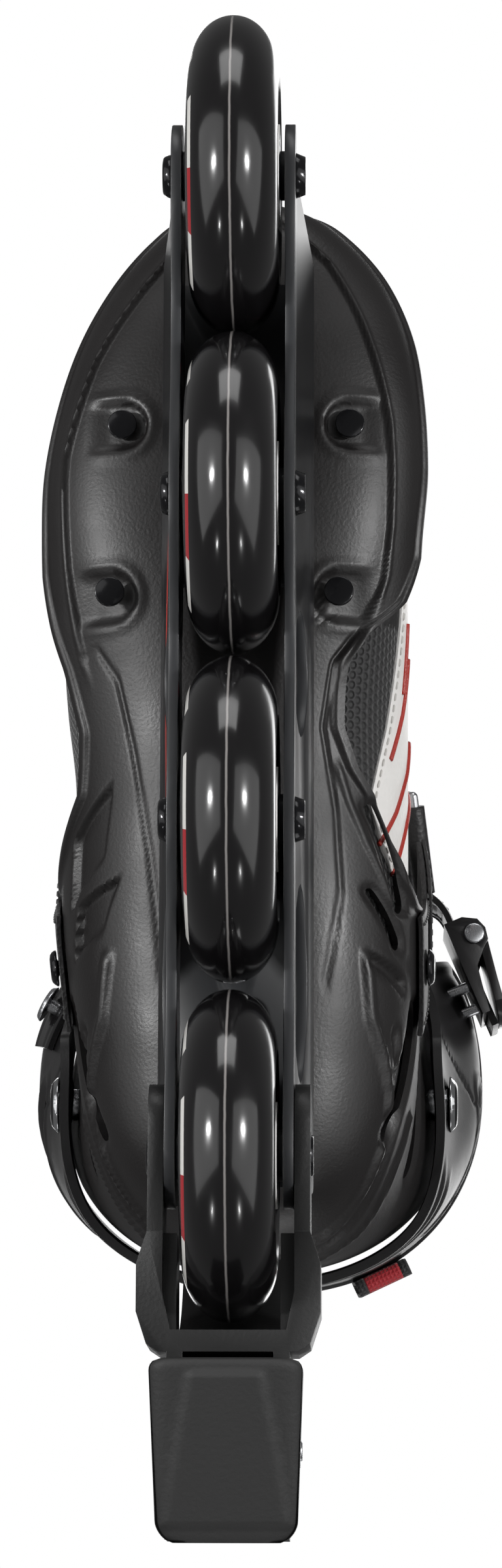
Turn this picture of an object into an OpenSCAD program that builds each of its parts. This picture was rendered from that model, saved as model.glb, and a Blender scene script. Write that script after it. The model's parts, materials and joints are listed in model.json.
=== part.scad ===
// Inline skate, right foot: soft boot in a moulded base, hinged cuff, four wheels and a heel brake.
// X is the wearer's left, the toe points to -Y, Z is up, and the floor is Z = 0 under the frame's middle.

/* [Wheels] */
// Diameter over the tyre
wheel_d = 84; // [80:0.5:85]
// Width of the tyre and of the hub over its bearings
wheel_w = 24; // [23:0.5:25]
// Distance from one axle to the next
wheel_pitch = 86.5; // [86.5:0.5:92]
// How far the rounded tread reaches in from the running surface
tread_depth = 15; // [12:0.5:16]
// Gap left between the top of the wheels and the underside of the frame's web
wheel_clearance = 2; // [1.5:0.5:4]

/* [Bearings and axles] */
// Outer diameter of the ball bearing
bearing_od = 22; // [22:0.5:24]
// Width of the ball bearing
bearing_w = 7; // [6:0.5:8]
// Diameter of the axle sleeve
axle_d = 8; // [7:0.5:8]
// Diameter of the axle's heads
axle_head_d = 12; // [11:0.5:14]
// Thickness of the axle's heads
axle_head_t = 2.6; // [2:0.2:3.2]

/* [Frame] */
// Thickness of a rail
rail_t = 2.75; // [2.25:0.25:4]
// Gap between a rail and the side of the hub, filled by the boss round the axle
boss_h = 1.5; // [1:0.25:2.5]
// How far each rail flares outwards towards the boot
rail_flare = 4.1; // [3:0.1:6]
// Thickness of the web that carries the boot
web_t = 4; // [3:0.5:5]
// Radius of the lug round each axle
lug_r = 13.5; // [11:0.5:15]
// Depth of the hollow between two lugs along the rail's lower edge
edge_wave = 7; // [0:1:9]

/* [Fasteners] */
// Diameter of the bolts that hold the boot to the frame
mount_bolt_d = 6; // [5:0.5:7]
// Diameter of the heads of the rivets in the sole
sole_rivet_d = 8; // [7:0.5:10]
// Diameter of the pin that the cuff turns on
pivot_pin_d = 6; // [5:0.5:7]
// Diameter of the domed head of that pin
pivot_head_d = 17; // [14:1:20]

/* [Boot] */
// Thickness of the padded liner
liner_t = 4; // [3:0.5:4.5]
// Thickness of the outer fabric
upper_t = 1.4; // [1:0.2:2]
// Air between two layers of the boot
layer_gap = 0.85; // [0.7:0.05:1.2]
// Thickness of the moulded base
base_t = 3; // [2.5:0.25:3.5]
// Thickness of the cuff
cuff_t = 2.7; // [2:0.1:3.5]
// Free gap between the cuff and the base that it turns round
cuff_gap = 2.3; // [1.8:0.1:3]
// Thickness of the footbed
footbed_t = 4; // [3:0.5:6]

/* [Straps] */
// Width of the webbing strap over the instep
instep_strap_w = 30; // [24:1:36]
// Thickness of the toothed cuff strap
ladder_t = 2; // [1.6:0.2:2.4]
// Diameter of the buckle's steel pin
buckle_pin_d = 4; // [3.5:0.5:5]

/* [Brake] */
// Length of the brake pad
pad_len = 43; // [38:1:50]
// Width of the brake pad where it meets the bracket
pad_w = 38; // [34:1:42]
// Height of the brake pad's front edge above the floor
pad_lift = 8; // [5:1:14]
// Rise of the pad's wearing face, in degrees
pad_rise = 20; // [10:1:25]
// Thickness of the bracket's arms
arm_t = 4; // [3.5:0.25:5]

/* [Hidden] */
$fn = 48;
eps = 0.05;                                   // overlap that joins two shapes of one piece
fit = 0.05;                                   // radial clearance of a pin in its hole
wheel_r = wheel_d / 2;
hub_half = wheel_w / 2;
axle_z = wheel_r;
axle_y = [for (i = [0:3]) (i - 1.5) * wheel_pitch];
rail_in = hub_half + boss_h;                  // inner face of a rail at the axle
rail_out = rail_in + rail_t;
web_z = wheel_d + wheel_clearance;            // underside of the web
deck_z = web_z + web_t;                       // the boot stands on this plane
frame_front = axle_y[0] - lug_r;
frame_rear = axle_y[3] + lug_r;
mount_y = [-wheel_pitch, wheel_pitch];        // the mounting bolts sit between two wheels
rim_r = wheel_r - tread_depth - 2;            // where the tyre meets the hub
bearing_x = hub_half - bearing_w / 2;
pivot = [96, 195];                            // y and z of the cuff's axis
station_deck = 90;                            // the boot's heights are given for a deck at this height
boot_lift = deck_z - station_deck;
rear_axle_y = 129.75;                         // and the brake's distances for a rear axle here

// ---------- colours ----------
black_plastic = [0.09, 0.09, 0.09];
black_metal = [0.06, 0.06, 0.07];
steel = [0.75, 0.75, 0.77];
black_fabric = [0.12, 0.12, 0.12];
white_leather = [0.9, 0.9, 0.9];
rubber = [0.16, 0.16, 0.16];

// ---------- the foot's surface ----------
// One ring per station. A ring runs from the sole or heel (b) to the instep or shin (t) and is widest at
// share m of the way: [yb, zb, yt, zt, left, right, centre x, m, sole squareness, top squareness,
// how much of an offset goes forwards, how much goes sideways]
STATIONS = [
    [-134, 115, -134, 124, -1.7, 2.3, 2, 0.50, 2.2, 2.0, 1.00, 0],
    [-132, 111, -132, 131,  8, 12,  2, 0.48, 2.4, 2.0, 0.85, 0.7],
    [-128, 108, -128, 137, 15, 20,  2, 0.46, 2.6, 2.0, 0.60, 0.9],
    [-119, 106, -119, 143, 24, 29,  2, 0.45, 3.0, 2.1, 0.30, 1],
    [-105, 105, -105, 149, 33, 36,  2, 0.44, 3.4, 2.2, 0.10, 1],
    [ -88, 104,  -88, 153, 39, 39,  1, 0.42, 3.6, 2.2, 0, 1],
    [ -68, 104,  -68, 159, 43, 40, -1, 0.42, 3.6, 2.2, 0, 1],
    [ -48, 105,  -49, 167, 44, 39, -2, 0.42, 3.4, 2.2, 0, 1],
    [ -26, 107,  -29, 178, 44, 39, -3, 0.44, 2.8, 2.2, 0, 1],
    [  -4, 109,  -11, 191, 43, 39, -4, 0.44, 2.4, 2.1, 0, 1],
    [  18, 111,    3, 205, 41, 39, -3, 0.44, 2.4, 2.1, 0, 1],
    [  40, 113,   12, 217, 41, 39, -2, 0.45, 2.6, 2.1, 0, 1],
    [  62, 115,   18, 228, 41, 39,  0, 0.45, 2.8, 2.1, 0, 1],
    [  90, 116,   22, 238, 39, 39,  0, 0.45, 2.8, 2.1, 0, 1],
    [ 118, 119,   26, 247, 37, 39,  0, 0.45, 2.6, 2.1, 0, 1],
    [ 134, 133,   28, 254, 37, 40,  1, 0.45, 2.3, 2.2, 0, 1],
    [ 140, 165,   29, 261, 40, 44,  2, 0.45, 2.2, 2.3, 0, 1],
    [ 136, 200,   30, 268, 45, 51,  2, 0.48, 2.2, 2.3, 0, 1],
    [ 132, 232,   31, 276, 49, 52.5,  3, 0.50, 2.2, 2.3, 0, 1],
    [ 129, 258,   31, 287, 49, 52.5,  3, 0.50, 2.2, 2.3, 0, 1],
    [ 126, 284,   30, 301, 49, 53,  3, 0.50, 2.2, 2.3, 0, 1],
    [ 124, 308,   28, 318, 49, 53,  3, 0.50, 2.2, 2.3, 0, 1]];
last_station = len(STATIONS) - 1;
function at(i) = STATIONS[max(0, min(last_station, i))];
// A station between two rings, on the smooth curve through their neighbours
function station(s) =
    let (i = min(floor(s), last_station - 1), f = s - i, a = at(i - 1), b = at(i), c = at(i + 1), d = at(i + 2))
    b + f / 2 * (c - a + f * (2 * a - 5 * b + 4 * c - d + f * (3 * (b - c) + d - a)));
// The point at angle a round the ring at station s, offset outwards by o: 0 sole or heel, 90 the wearer's
// left (+X), 180 instep or shin
function skin(s, a, o) =
    let (q = station(s), dy = q[2] - q[0], dz = q[3] - q[1], h = norm([dy, dz]),
         side = sin(a), rise = -cos(a), m = q[7] * h,
         w = (side >= 0 ? q[5] - q[6] : q[4] + q[6]) + o * q[11],
         n = rise < 0 ? q[8] : q[9],
         v = rise < 0 ? -(m + o) * pow(-rise, 2 / n) : (h - m + o) * pow(rise, 2 / n))
    [q[6] + sign(side) * w * pow(abs(side), 2 / n),
     q[0] + dy / h * (m + v) - o * q[10], q[1] + dz / h * (m + v)];

function steps(a, b, n) = [for (i = [0:n]) a + (b - a) * i / n];
function grid_faces(rows, cols, base, flip) = [for (i = [0:rows - 2]) for (j = [0:cols - 2])
    let (p = base + i * cols + j, q = p + cols)
    each flip ? [[p, q, p + 1], [p + 1, q, q + 1]] : [[p, p + 1, q], [p + 1, q + 1, q]]];
// A closed shell between two grids of points, one above the other
module shell(outer, inner, flip = false) {
    rows = len(outer);
    cols = len(outer[0]);
    total = rows * cols;
    rim = concat([for (j = [0:cols - 2]) j], [for (i = [0:rows - 2]) i * cols + cols - 1],
                 [for (j = [cols - 1:-1:1]) (rows - 1) * cols + j], [for (i = [rows - 1:-1:1]) i * cols]);
    walls = [for (k = [0:len(rim) - 1])
        let (p = rim[k], q = rim[(k + 1) % len(rim)])
        each flip ? [[p, q, p + total], [q, q + total, p + total]]
                  : [[p, p + total, q], [q, p + total, q + total]]];
    polyhedron([each for (row = outer) row, each for (row = inner) row],
               concat(grid_faces(rows, cols, 0, flip), grid_faces(rows, cols, total, !flip), walls));
}
// A plate on the foot's surface: it runs from angle a0 to a1 at each of the stations ss, in n steps
module plate(ss, a0, a1, n, inner, outer) {
    function points(off) = [for (i = [0:len(ss) - 1]) [for (j = [0:n])
        let (a = a0[i] + (a1[i] - a0[i]) * j / n) skin(ss[i], a, off(ss[i], a))]];
    shell(points(outer), points(inner));
}
// The point of the surface at angle a and height z, found by halving, for the upright part of the boot
function at_height(z, a, o, lo = 11, hi = 21, k = 14) = let (mid = (lo + hi) / 2)
    k == 0 ? skin(mid, a, o) : skin(mid, a, o)[2] < z ? at_height(z, a, o, mid, hi, k - 1)
                                                      : at_height(z, a, o, lo, mid, k - 1);
// A plate on the upright part: it runs from height low(a) to high(a) at each of the angles aa
module band(aa, n, low, high, inner, outer) {
    function points(off) = [for (a = aa) [for (j = [0:n])
        at_height(low(a) + (high(a) - low(a)) * j / n, a, off(a))]];
    shell(points(outer), points(inner), flip = true);
}
// A sock that follows the whole ring from the toe to station ss's last, closed at the toe and open at the top
module sock(ss, n, inner, outer) {
    rows = len(ss);
    total = rows * n;
    function pts(off) = [for (s = ss) for (j = [0:n - 1]) skin(s, j * 360 / n, off)];
    function tip(off) = (skin(ss[0], 0, off) + skin(ss[0], 180, off)) / 2;
    function tube(base, flip) = [for (i = [0:rows - 2]) for (j = [0:n - 1])
        let (p = base + i * n + j, p2 = base + i * n + (j + 1) % n, q = p + n, q2 = p2 + n)
        each flip ? [[p, q, p2], [p2, q, q2]] : [[p, p2, q], [p2, q2, q]]];
    top = (rows - 1) * n;
    polyhedron(concat(pts(outer), pts(inner), [tip(outer), tip(inner)]),
        concat(tube(0, false), tube(total, true),
               [for (j = [0:n - 1]) [2 * total, (j + 1) % n, j]],
               [for (j = [0:n - 1]) [2 * total + 1, total + j, total + (j + 1) % n]],
               [for (j = [0:n - 1]) let (k = (j + 1) % n)
                each [[top + j, top + k, total + top + j], [top + k, total + top + k, total + top + j]]]));
}
module along_x(x0, x1) translate([x0, 0, 0]) rotate([90, 0, 90]) linear_extrude(x1 - x0) children();
module rod_x(r, x0, x1, y = 0, z = 0) translate([x0, y, z]) rotate([0, 90, 0]) cylinder(r = r, h = x1 - x0);
module both_sides() { children(); mirror([1, 0, 0]) children(); }
module ring_x(r_in, r_out, x0, x1) difference() {
    rod_x(r_out, x0, x1);
    rod_x(r_in, x0 - 1, x1 + 1);
}
module on_deck() translate([0, 0, boot_lift]) children();
module behind_axle() translate([0, axle_y[3] - rear_axle_y, 0]) children();
module at_axles() for (y = axle_y) translate([0, y, axle_z]) children();
module at_wheel(i) translate([0, axle_y[i], axle_z]) children();

// ---------- wheels ----------
module tyre() color("black") rotate([0, 90, 0]) rotate_extrude()
    polygon(concat([for (t = [-90:10:90])
                    [wheel_r - tread_depth + tread_depth * cos(t), hub_half * sin(t)]],
                   [[rim_r, hub_half - 3], [rim_r, 3 - hub_half]]));
module hub() color("white") difference() {
    union() {
        ring_x(rim_r - 3, rim_r, 3 - hub_half, hub_half - 3);
        ring_x(bearing_od / 2 - 1.5, bearing_od / 2 + 2.5, -hub_half, hub_half);
        for (k = [0:4]) rotate([72 * k, 0, 0])
            translate([-hub_half / 2, -3, bearing_od / 2 + 1])
                cube([hub_half, 6, rim_r - bearing_od / 2 - 2.5]);
    }
    both_sides() rod_x(bearing_od / 2, hub_half - bearing_w, hub_half + 1);
}
module bearing_outer_rings() color(steel) both_sides() {
    ring_x(bearing_od / 2 - 1.8, bearing_od / 2, hub_half - bearing_w, hub_half);
    ring_x(axle_d / 2 + 1.9, bearing_od / 2 - 1.8, hub_half - 0.5, hub_half - 0.1);
}
module bearing_balls() color(steel) for (k = [0:6], x = [-bearing_x, bearing_x])
    rotate([k * 360 / 7, 0, 0]) translate([x, 0, (bearing_od + axle_d) / 4])
        sphere(r = (bearing_od - axle_d) / 4 - 1.85);
module bearing_inner_rings() color(steel) at_axles() both_sides()
    ring_x(axle_d / 2, axle_d / 2 + 1.6, hub_half - bearing_w, hub_half);
module bearing_spacers() color(steel) at_axles()
    ring_x(axle_d / 2, axle_d / 2 + 1.2, bearing_w - hub_half, hub_half - bearing_w);

// ---------- axles ----------
// The rear axle also clamps the brake's arms, and its heads sit in their pockets
function seat_x(i) = rail_out + (i == 3 ? arm_t - axle_head_t + layer_gap : 0);
screw_r = 2.5;
module axle_head() rotate([0, 90, 0]) cylinder(r1 = axle_head_d / 2, r2 = axle_head_d / 2 - 1, h = axle_head_t);
module axle_sleeves() color(black_metal) for (i = [0:3]) at_wheel(i) difference() {
    union() {
        rod_x(axle_d / 2 - fit, -seat_x(i) - eps, rail_out - 1);
        mirror([1, 0, 0]) translate([seat_x(i), 0, 0]) axle_head();
    }
    rod_x(screw_r, 2, rail_out);
}
module axle_screws() color(black_metal) for (i = [0:3]) at_wheel(i) difference() {
    union() {
        rod_x(screw_r - fit, 3, seat_x(i) + eps);
        translate([seat_x(i), 0, 0]) axle_head();
    }
    translate([seat_x(i) + 0.8, 0, 0]) rotate([0, 90, 0]) cylinder(r = 2.3, h = axle_head_t, $fn = 6);
}

// ---------- frame ----------
module frame() color(black_metal) {
    waist_z = axle_z + lug_r + 2;
    top = [rail_in + rail_flare, rail_out + rail_flare];
    wave = [for (y = [frame_front + lug_r : wheel_pitch / 12 : frame_rear - lug_r + 1])
            [y, axle_z - lug_r + edge_wave * (1 - cos(360 * (y - axle_y[0]) / wheel_pitch)) / 2]];
    nose = [for (t = [-90:-15:-200]) [axle_y[0] + lug_r * cos(t), axle_z + lug_r * sin(t)]];
    tail = [for (t = [20:-15:-85]) [axle_y[3] + lug_r * cos(t), axle_z + lug_r * sin(t)]];
    difference() {
        intersection() {
            translate([0, frame_rear + 1, 0]) rotate([90, 0, 0]) linear_extrude(frame_rear - frame_front + 2)
                polygon([[rail_in, 0], [rail_out, 0], [rail_out, waist_z], [top[1], web_z - 5], [top[1], deck_z],
                         [-top[1], deck_z], [-top[1], web_z - 5], [-rail_out, waist_z], [-rail_out, 0],
                         [-rail_in, 0], [-rail_in, waist_z + 1], [-top[0], web_z - 4], [-top[0], web_z],
                         [top[0], web_z], [top[0], web_z - 4], [rail_in, waist_z + 1]]);
            along_x(-60, 60) polygon(concat(
                [for (i = [len(nose) - 1:-1:0]) nose[i]], wave,
                [for (i = [len(tail) - 1:-1:0]) tail[i]],
                [[frame_rear - 6, web_z - 12], [frame_rear - 12, deck_z], [frame_front + 32, deck_z],
                 [frame_front + 22, web_z - 10]]));
        }
        // windows through both rails, the opening between the two decks, and the holes
        for (w = [[0, 17], [wheel_pitch * 0.95, 26]]) along_x(-60, 60) translate([w[0], waist_z + 6])
            polygon([for (t = [0:20:340]) [w[1] * cos(t), 10 * sin(t) * (1 - 0.25 * abs(cos(t)))]]);
        translate([-top[0], -30, web_z - 1]) cube([2 * top[0], 62, web_t + 2]);
        for (y = mount_y) translate([0, y, web_z - 1]) cylinder(r = mount_bolt_d / 2 + 0.25, h = web_t + 2);
        at_axles() rod_x(axle_d / 2, -40, 40);
    }
    at_axles() both_sides() ring_x(axle_d / 2, axle_d / 2 + 2.5, hub_half, rail_in + eps);
}
module mount_bolts() color(steel) for (i = [0, 1]) translate([0, mount_y[i], 0]) difference() {
    union() {
        translate([0, 0, web_z - 3.5]) cylinder(r = mount_bolt_d * 0.85, h = 3.5);
        translate([0, 0, web_z - eps])
            cylinder(r = mount_bolt_d / 2 - fit, h = floor_z[i] + boot_lift - web_z - 0.5);
    }
    translate([0, 0, web_z - 5]) cylinder(r = mount_bolt_d / 3, h = 3.5, $fn = 6);
}

// ---------- base shell ----------
base_in = liner_t + upper_t + 2 * layer_gap;     // offset of the base's inner face beside the foot
base_out = base_in + base_t;
sole_in = liner_t + layer_gap;                    // and under the foot
function station_of(y) = lookup(y, [for (i = [0:14]) [STATIONS[i][0], i]]);
floor_z = [for (y = mount_y) station(station_of(y))[1] - sole_in];   // inner face of the sole at the bolts
function base_inner(s, a) = abs(a) < sole_a && s < 13.2 ? sole_in : base_in;
sole_a = 22;                                      // the footbed's part of the base reaches to this angle
function base_outer(s, a) = base_out;
TOE_S = [0, 0.5, 1, 1.5, 2, 2.5];
BASE_S = concat(TOE_S, [3, 4, 5, 6, 7, 8, 9], steps(9.5, 17, 15));
// Angle of the base's upper edge at a station, on the inner (+X) and the outer side of the foot
function inner_edge(s) = lookup(s, [[0, 80], [6, 78], [7.4, 72], [8.6, 47], [9.4, 40], [10.2, 47],
                                    [11.4, 72], [13, 118], [13.6, 120], [15.6, 112], [16.2, 104], [17, 60]]);
function outer_edge(s) = lookup(s, [[0, 80], [6, 78], [7.4, 74], [8.6, 58], [9.4, 52], [10.2, 56],
                                    [11.4, 82], [13, 118], [13.6, 120], [15.6, 112], [16.2, 104], [17, 60]]);
// A round-ended slot from point p to point q, given as y and z, through the side of the boot
module side_slot(p, q, rp, rq) hull() {
    rod_x(rp, -80, 80, p[0], p[1], $fn = 16);
    rod_x(rq, -80, 80, q[0], q[1], $fn = 16);
}
SOLE_RIVETS = [[-32, -77], [30, -77], [-35, -30], [27, -30]];
strap_rivet_a = 80;                               // the instep strap's ends are riveted on at this angle
rivet_shank_r = 1.9;
rivet_hole_r = 2.1;
module base_shell() color(black_plastic) difference() {
    union() {
        plate(BASE_S, [for (s = BASE_S) -outer_edge(s)], [for (s = BASE_S) inner_edge(s)], 32,
              function(s, a) base_inner(s, a), function(s, a) base_outer(s, a));
        // pads that stand on the frame's deck
        for (i = [0, 1]) translate([-16, mount_y[i] - 26, station_deck])
            cube([32, i == 0 ? 60 : 62, floor_z[i] - station_deck - 1]);
    }
    side_slot([26, 114], [50, 127], 1.2, 2.8);
    side_slot([49, 115.5], [61, 126], 1.2, 2.2);
    side_slot([80, 144], [112, 131], 6, 3);
    side_slot([92, 164], [116, 166], 4, 5);
    for (i = [0, 1]) translate([0, mount_y[i], 0]) {
        cylinder(r = mount_bolt_d / 2 + 1.2, h = 200);
        translate([0, 0, floor_z[i] - 1.4]) cylinder(r = 9.2, h = 20);
    }
    for (p = SOLE_RIVETS) translate([p[0], p[1], 80]) {
        cylinder(r = 1.7, h = 30);
        cylinder(r = sole_rivet_d / 2 + 0.4, h = sole_rivet_z - 80 + 1.2);
    }
    for (k = [-1, 1]) at_strap_rivet(k) translate([0, 0, -10]) cylinder(r = rivet_hole_r, h = 20);
    both_sides() rod_x(bush_r + 0.1, 30, 70, pivot[0], pivot[1]);
}
sole_rivet_z = station(6)[1] - base_out;
module mount_tee_nuts() color(steel) for (i = [0, 1]) translate([0, mount_y[i], 0]) difference() {
    union() {
        translate([0, 0, floor_z[i] - 1.3]) cylinder(r = 9, h = 1.2);
        translate([0, 0, floor_z[i] - 5]) cylinder(r = mount_bolt_d / 2 + 1.1, h = 4);
    }
    translate([0, 0, station_deck]) cylinder(r = mount_bolt_d / 2, h = 60);
}
module sole_rivets() color(black_metal) for (p = SOLE_RIVETS) translate([p[0], p[1], sole_rivet_z]) {
    translate([0, 0, -0.6]) cylinder(r = sole_rivet_d / 2, h = 1.6);
    cylinder(r = 1.6, h = 5);
}

// ---------- soft boot ----------
module liner() color(black_fabric) sock(concat(TOE_S, steps(3, 21, 24)), 28, 0, liner_t);
upper_in = liner_t + layer_gap;
upper_out = upper_in + upper_t;
module upper_plate(ss, a0, a1, n) plate(ss, a0, a1, n, function(s, a) upper_in, function(s, a) upper_out);
upper_low = 32;                                   // the fabric's lower edge is tucked into the base
module toe_box() color(black_fabric) {
    ss = concat(TOE_S, steps(3, 8, 5));
    upper_plate(ss, [for (s = ss) upper_low], [for (s = ss) 360 - upper_low], 28);
}
throat = 22;                                      // half the angle that the tongue shows through
QUARTER_S = concat(steps(8, 13, 9), steps(13.25, 14.75, 6), steps(15.2, 16, 2));
function quarter_low(s) = s < 13.5 ? upper_low : s < 14.5 ? upper_low * (14.5 - s) + 0.5 : 0.5;
module right_quarter() color(white_leather)
    upper_plate(QUARTER_S, [for (s = QUARTER_S) 180 + throat], [for (s = QUARTER_S) 360 - quarter_low(s)], 14);
module left_quarter() color(white_leather)
    upper_plate(QUARTER_S, [for (s = QUARTER_S) quarter_low(s)], [for (s = QUARTER_S) 180 - throat], 14);
module tongue() color(black_fabric) {
    ss = steps(8.2, 21, 16);
    plate(ss, [for (s = ss) 180 - throat + 2], [for (s = ss) 180 + throat - 2], 10,
          function(s, a) upper_in, function(s, a) upper_out - 0.2);
}
module lace_eyelets() color(steel) for (s = [8.8, 10.2, 11.6, 13], k = [-1, 1])
    on_skin(s, 180 + k * (throat + 6), upper_out + 0.15) difference() {
        cylinder(r = 3, h = 0.3);
        translate([0, 0, -1]) cylinder(r = 1.7, h = 3);
    }
// The footbed, with the gel pad set into its heel
FOOT_S = steps(2.5, 13, 12);
footbed_a = 52;                                   // how far up the sides it reaches
footbed_gap = 0.5;
heel_pad_at = [-1, 82, 119];
heel_pad_r = 15;
heel_pad_t = 4.5;
module footbed() color(black_fabric) difference() {
    plate(FOOT_S, [for (s = FOOT_S) -footbed_a], [for (s = FOOT_S) footbed_a], 12,
          function(s, a) -footbed_gap - footbed_t, function(s, a) -footbed_gap);
    translate(heel_pad_at - [0, 0, 10]) cylinder(r = heel_pad_r + footbed_gap, h = 40);
}
module heel_pad() color("orange") translate(heel_pad_at) cylinder(r = heel_pad_r, h = heel_pad_t);
// A flattened loop of webbing on the cuff's rear corner
loop_a = 29;
loop_depth = 5.6;
loop_w = 17;
loop_web_t = 1.3;
loop_tilt = -6;                                   // it leans with the back of the cuff
module pull_loop() color("red") {
    p = at_height(298, loop_a, cuff_out + 0.3);
    q = at_height(298, loop_a - 3, cuff_out + 0.3);
    translate(p) rotate([0, 0, atan2(q[1] - p[1], q[0] - p[0]) - 90]) rotate([0, loop_tilt, 0])
        translate([0, loop_w / 2, 0]) rotate([90, 0, 0]) linear_extrude(loop_w) difference() {
            loop_outline(0);
            loop_outline(loop_web_t);
        }
}
module loop_outline(inset) translate([loop_depth / 2, 0]) hull() for (z = [-10, 12])
    translate([0, z]) circle(r = loop_depth / 2 - inset);

// ---------- instep strap ----------
strap_t = 1.8;
over_upper = upper_out + layer_gap;
over_base = base_out + 0.3;
// Offset of a strap's underside, which climbs from the fabric onto the moulded part beside it
function climb(a, low, high, foot, top) =
    let (t = (abs(180 - a) - foot) / (top - foot)) low + (high - low) * max(0, min(1, t));
function strap_under(a) = climb(a, over_upper, over_base, 30, 48);
// Station of the strap's middle, and how many stations it covers on either side of it
function strap_mid(a) = 12.7 - 3.6 * sin(max(0, 90 - abs(180 - a)));
function strap_half(a) = instep_strap_w / 2 * (0.049 + 0.028 * sin(max(0, 90 - abs(180 - a))));
module strap_piece(a0, a1, n) {
    function points(off) = [for (a = steps(a0, a1, n)) [for (j = [0:4])
        skin(strap_mid(a) + strap_half(a) * (j / 2 - 1), a, strap_under(a) + off)]];
    shell(points(strap_t), points(0), flip = true);
}
ring_wire_r = 1.5;
ring_lift = over_base + 2.4;                      // the ring stands this far off the foot
ring_len = 12;
ring_a = 121;
mid_s = strap_mid(ring_a - 7);
function unit(v) = v / norm(v);
// A frame on the surface: x runs down round the leg, y along the stations and z outwards
module on_skin(s, a, o) {
    p = skin(s, a, o);
    down = unit(skin(s, a - 4, o) - skin(s, a + 4, o));
    out = unit(cross(down, unit(skin(s + 0.2, a, o) - skin(s - 0.2, a, o))));
    along = cross(out, down);
    multmatrix([[down[0], along[0], out[0], p[0]], [down[1], along[1], out[1], p[1]],
                [down[2], along[2], out[2], p[2]]]) children();
}
module wire_bar(x, w) translate([x, w / 2, 0]) rotate([90, 0, 0]) cylinder(r = ring_wire_r, h = w);
module strap_ring() color(steel) on_skin(mid_s, ring_a - 7, ring_lift) {
    w = instep_strap_w + 1;
    wire_bar(-ring_len / 2, w);
    wire_bar(ring_len / 2, w);
    for (k = [-1, 1]) translate([-ring_len / 2, k * w / 2, 0]) rotate([0, 90, 0])
        cylinder(r = ring_wire_r, h = ring_len);
    for (i = [-1, 1], k = [-1, 1]) translate([i * ring_len / 2, k * w / 2, 0]) sphere(r = ring_wire_r);
}
module instep_strap() color(black_fabric) difference() {
    union() {
        strap_piece(ring_a + 2, 284, 33);
        on_skin(mid_s, ring_a - 7, ring_lift) translate([-ring_len / 2, 0, 0]) strap_sleeve();
    }
    on_skin(mid_s, ring_a - 7, ring_lift) wire_bar_hole(-ring_len / 2);
    at_strap_rivet(-1) translate([0, 0, -10]) cylinder(r = rivet_hole_r, h = 20);
}
module strap_sleeve() translate([0, instep_strap_w / 2 - 2, 0]) rotate([90, 0, 0])
    cylinder(r = ring_wire_r + 1.5, h = instep_strap_w - 4);
module wire_bar_hole(x) translate([x, instep_strap_w, 0]) rotate([90, 0, 0])
    cylinder(r = ring_wire_r + 0.1, h = 2 * instep_strap_w);
module strap_tab() color(black_fabric) difference() {
    union() {
        strap_piece(74, 103, 7);
        on_skin(mid_s, ring_a - 7, ring_lift) translate([ring_len / 2, 0, 0]) strap_sleeve();
    }
    on_skin(mid_s, ring_a - 7, ring_lift) wire_bar_hole(ring_len / 2);
    at_strap_rivet(1) translate([0, 0, -10]) cylinder(r = rivet_hole_r, h = 20);
}
module at_strap_rivet(k) on_skin(strap_mid(90), k * strap_rivet_a, over_base + strap_t) children();
module strap_rivets() color(black_metal) for (k = [-1, 1]) at_strap_rivet(k) {
    translate([0, 0, 0.5]) cylinder(r1 = 5.5, r2 = 4, h = 2);
    translate([0, 0, -4.2]) cylinder(r = rivet_shank_r, h = 5);
}

// ---------- cuff and its hinge ----------
cuff_in = base_out + cuff_gap;
cuff_out = cuff_in + cuff_t;
cuff_edge = 124;                                  // how far round from the back the cuff reaches
function cuff_low(a) = abs(a) < 90 ? 196 - 18 * pow(sin(a), 2)
                                    : 178 + 54 * pow((abs(a) - 90) / (cuff_edge - 90), 0.9);
function cuff_high(a) = 300 - 34 * pow(max(0, abs(a) - 50) / (cuff_edge - 50), 1.5);
function pivot_x(k, o) = at_height(pivot[1], 86 * k, o)[0];
module at_pivot(k, o) translate([pivot_x(k, o), pivot[0], pivot[1]]) rotate([0, 90 * k, 0]) children();
bush_r = pivot_pin_d / 2 + 1.5;
bush_in = 1.6;                                    // the hinge keeps this far off the inside of the base
module pivot_bushes() color(steel) for (k = [-1, 1]) at_pivot(k, base_in) difference() {
    union() {
        translate([0, 0, bush_in]) cylinder(r = bush_r, h = cuff_out - base_in - bush_in - 0.2);
    }
    translate([0, 0, -2]) cylinder(r = pivot_pin_d / 2 + fit, h = 20);
}
module pivot_pins() color(steel) for (k = [-1, 1]) at_pivot(k, cuff_out) {
    translate([0, 0, 0.2]) cylinder(r1 = pivot_head_d / 2, r2 = pivot_head_d / 2 - 2.5, h = 2.4);
    translate([0, 0, base_in + bush_in - cuff_out]) cylinder(r = pivot_pin_d / 2, h = cuff_out - base_in);
}
module cuff_shell() color(black_plastic) difference() {
    band(steps(-cuff_edge, cuff_edge, 31), 9, function(a) cuff_low(a), function(a) cuff_high(a),
         function(a) cuff_in, function(a) cuff_out);
    for (k = [-1, 1]) at_pivot(k, cuff_out) {
        translate([0, 0, -10]) cylinder(r = bush_r + 0.08, h = 20);
        translate([0, 0, -0.3]) cylinder(r = pivot_head_d / 2 + 0.6, h = 20);
    }
    side_slot([90, 238], [116, 250], 4, 6);
    buckle_frame() for (y = buckle_rivet_y) translate([-10, y, 0]) rotate([0, 90, 0])
        cylinder(r = buckle_rivet_r + 0.1, h = 20);
    ladder_screw_frame() translate([0, 0, -10]) cylinder(r = 2.2, h = 20);
}

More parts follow.
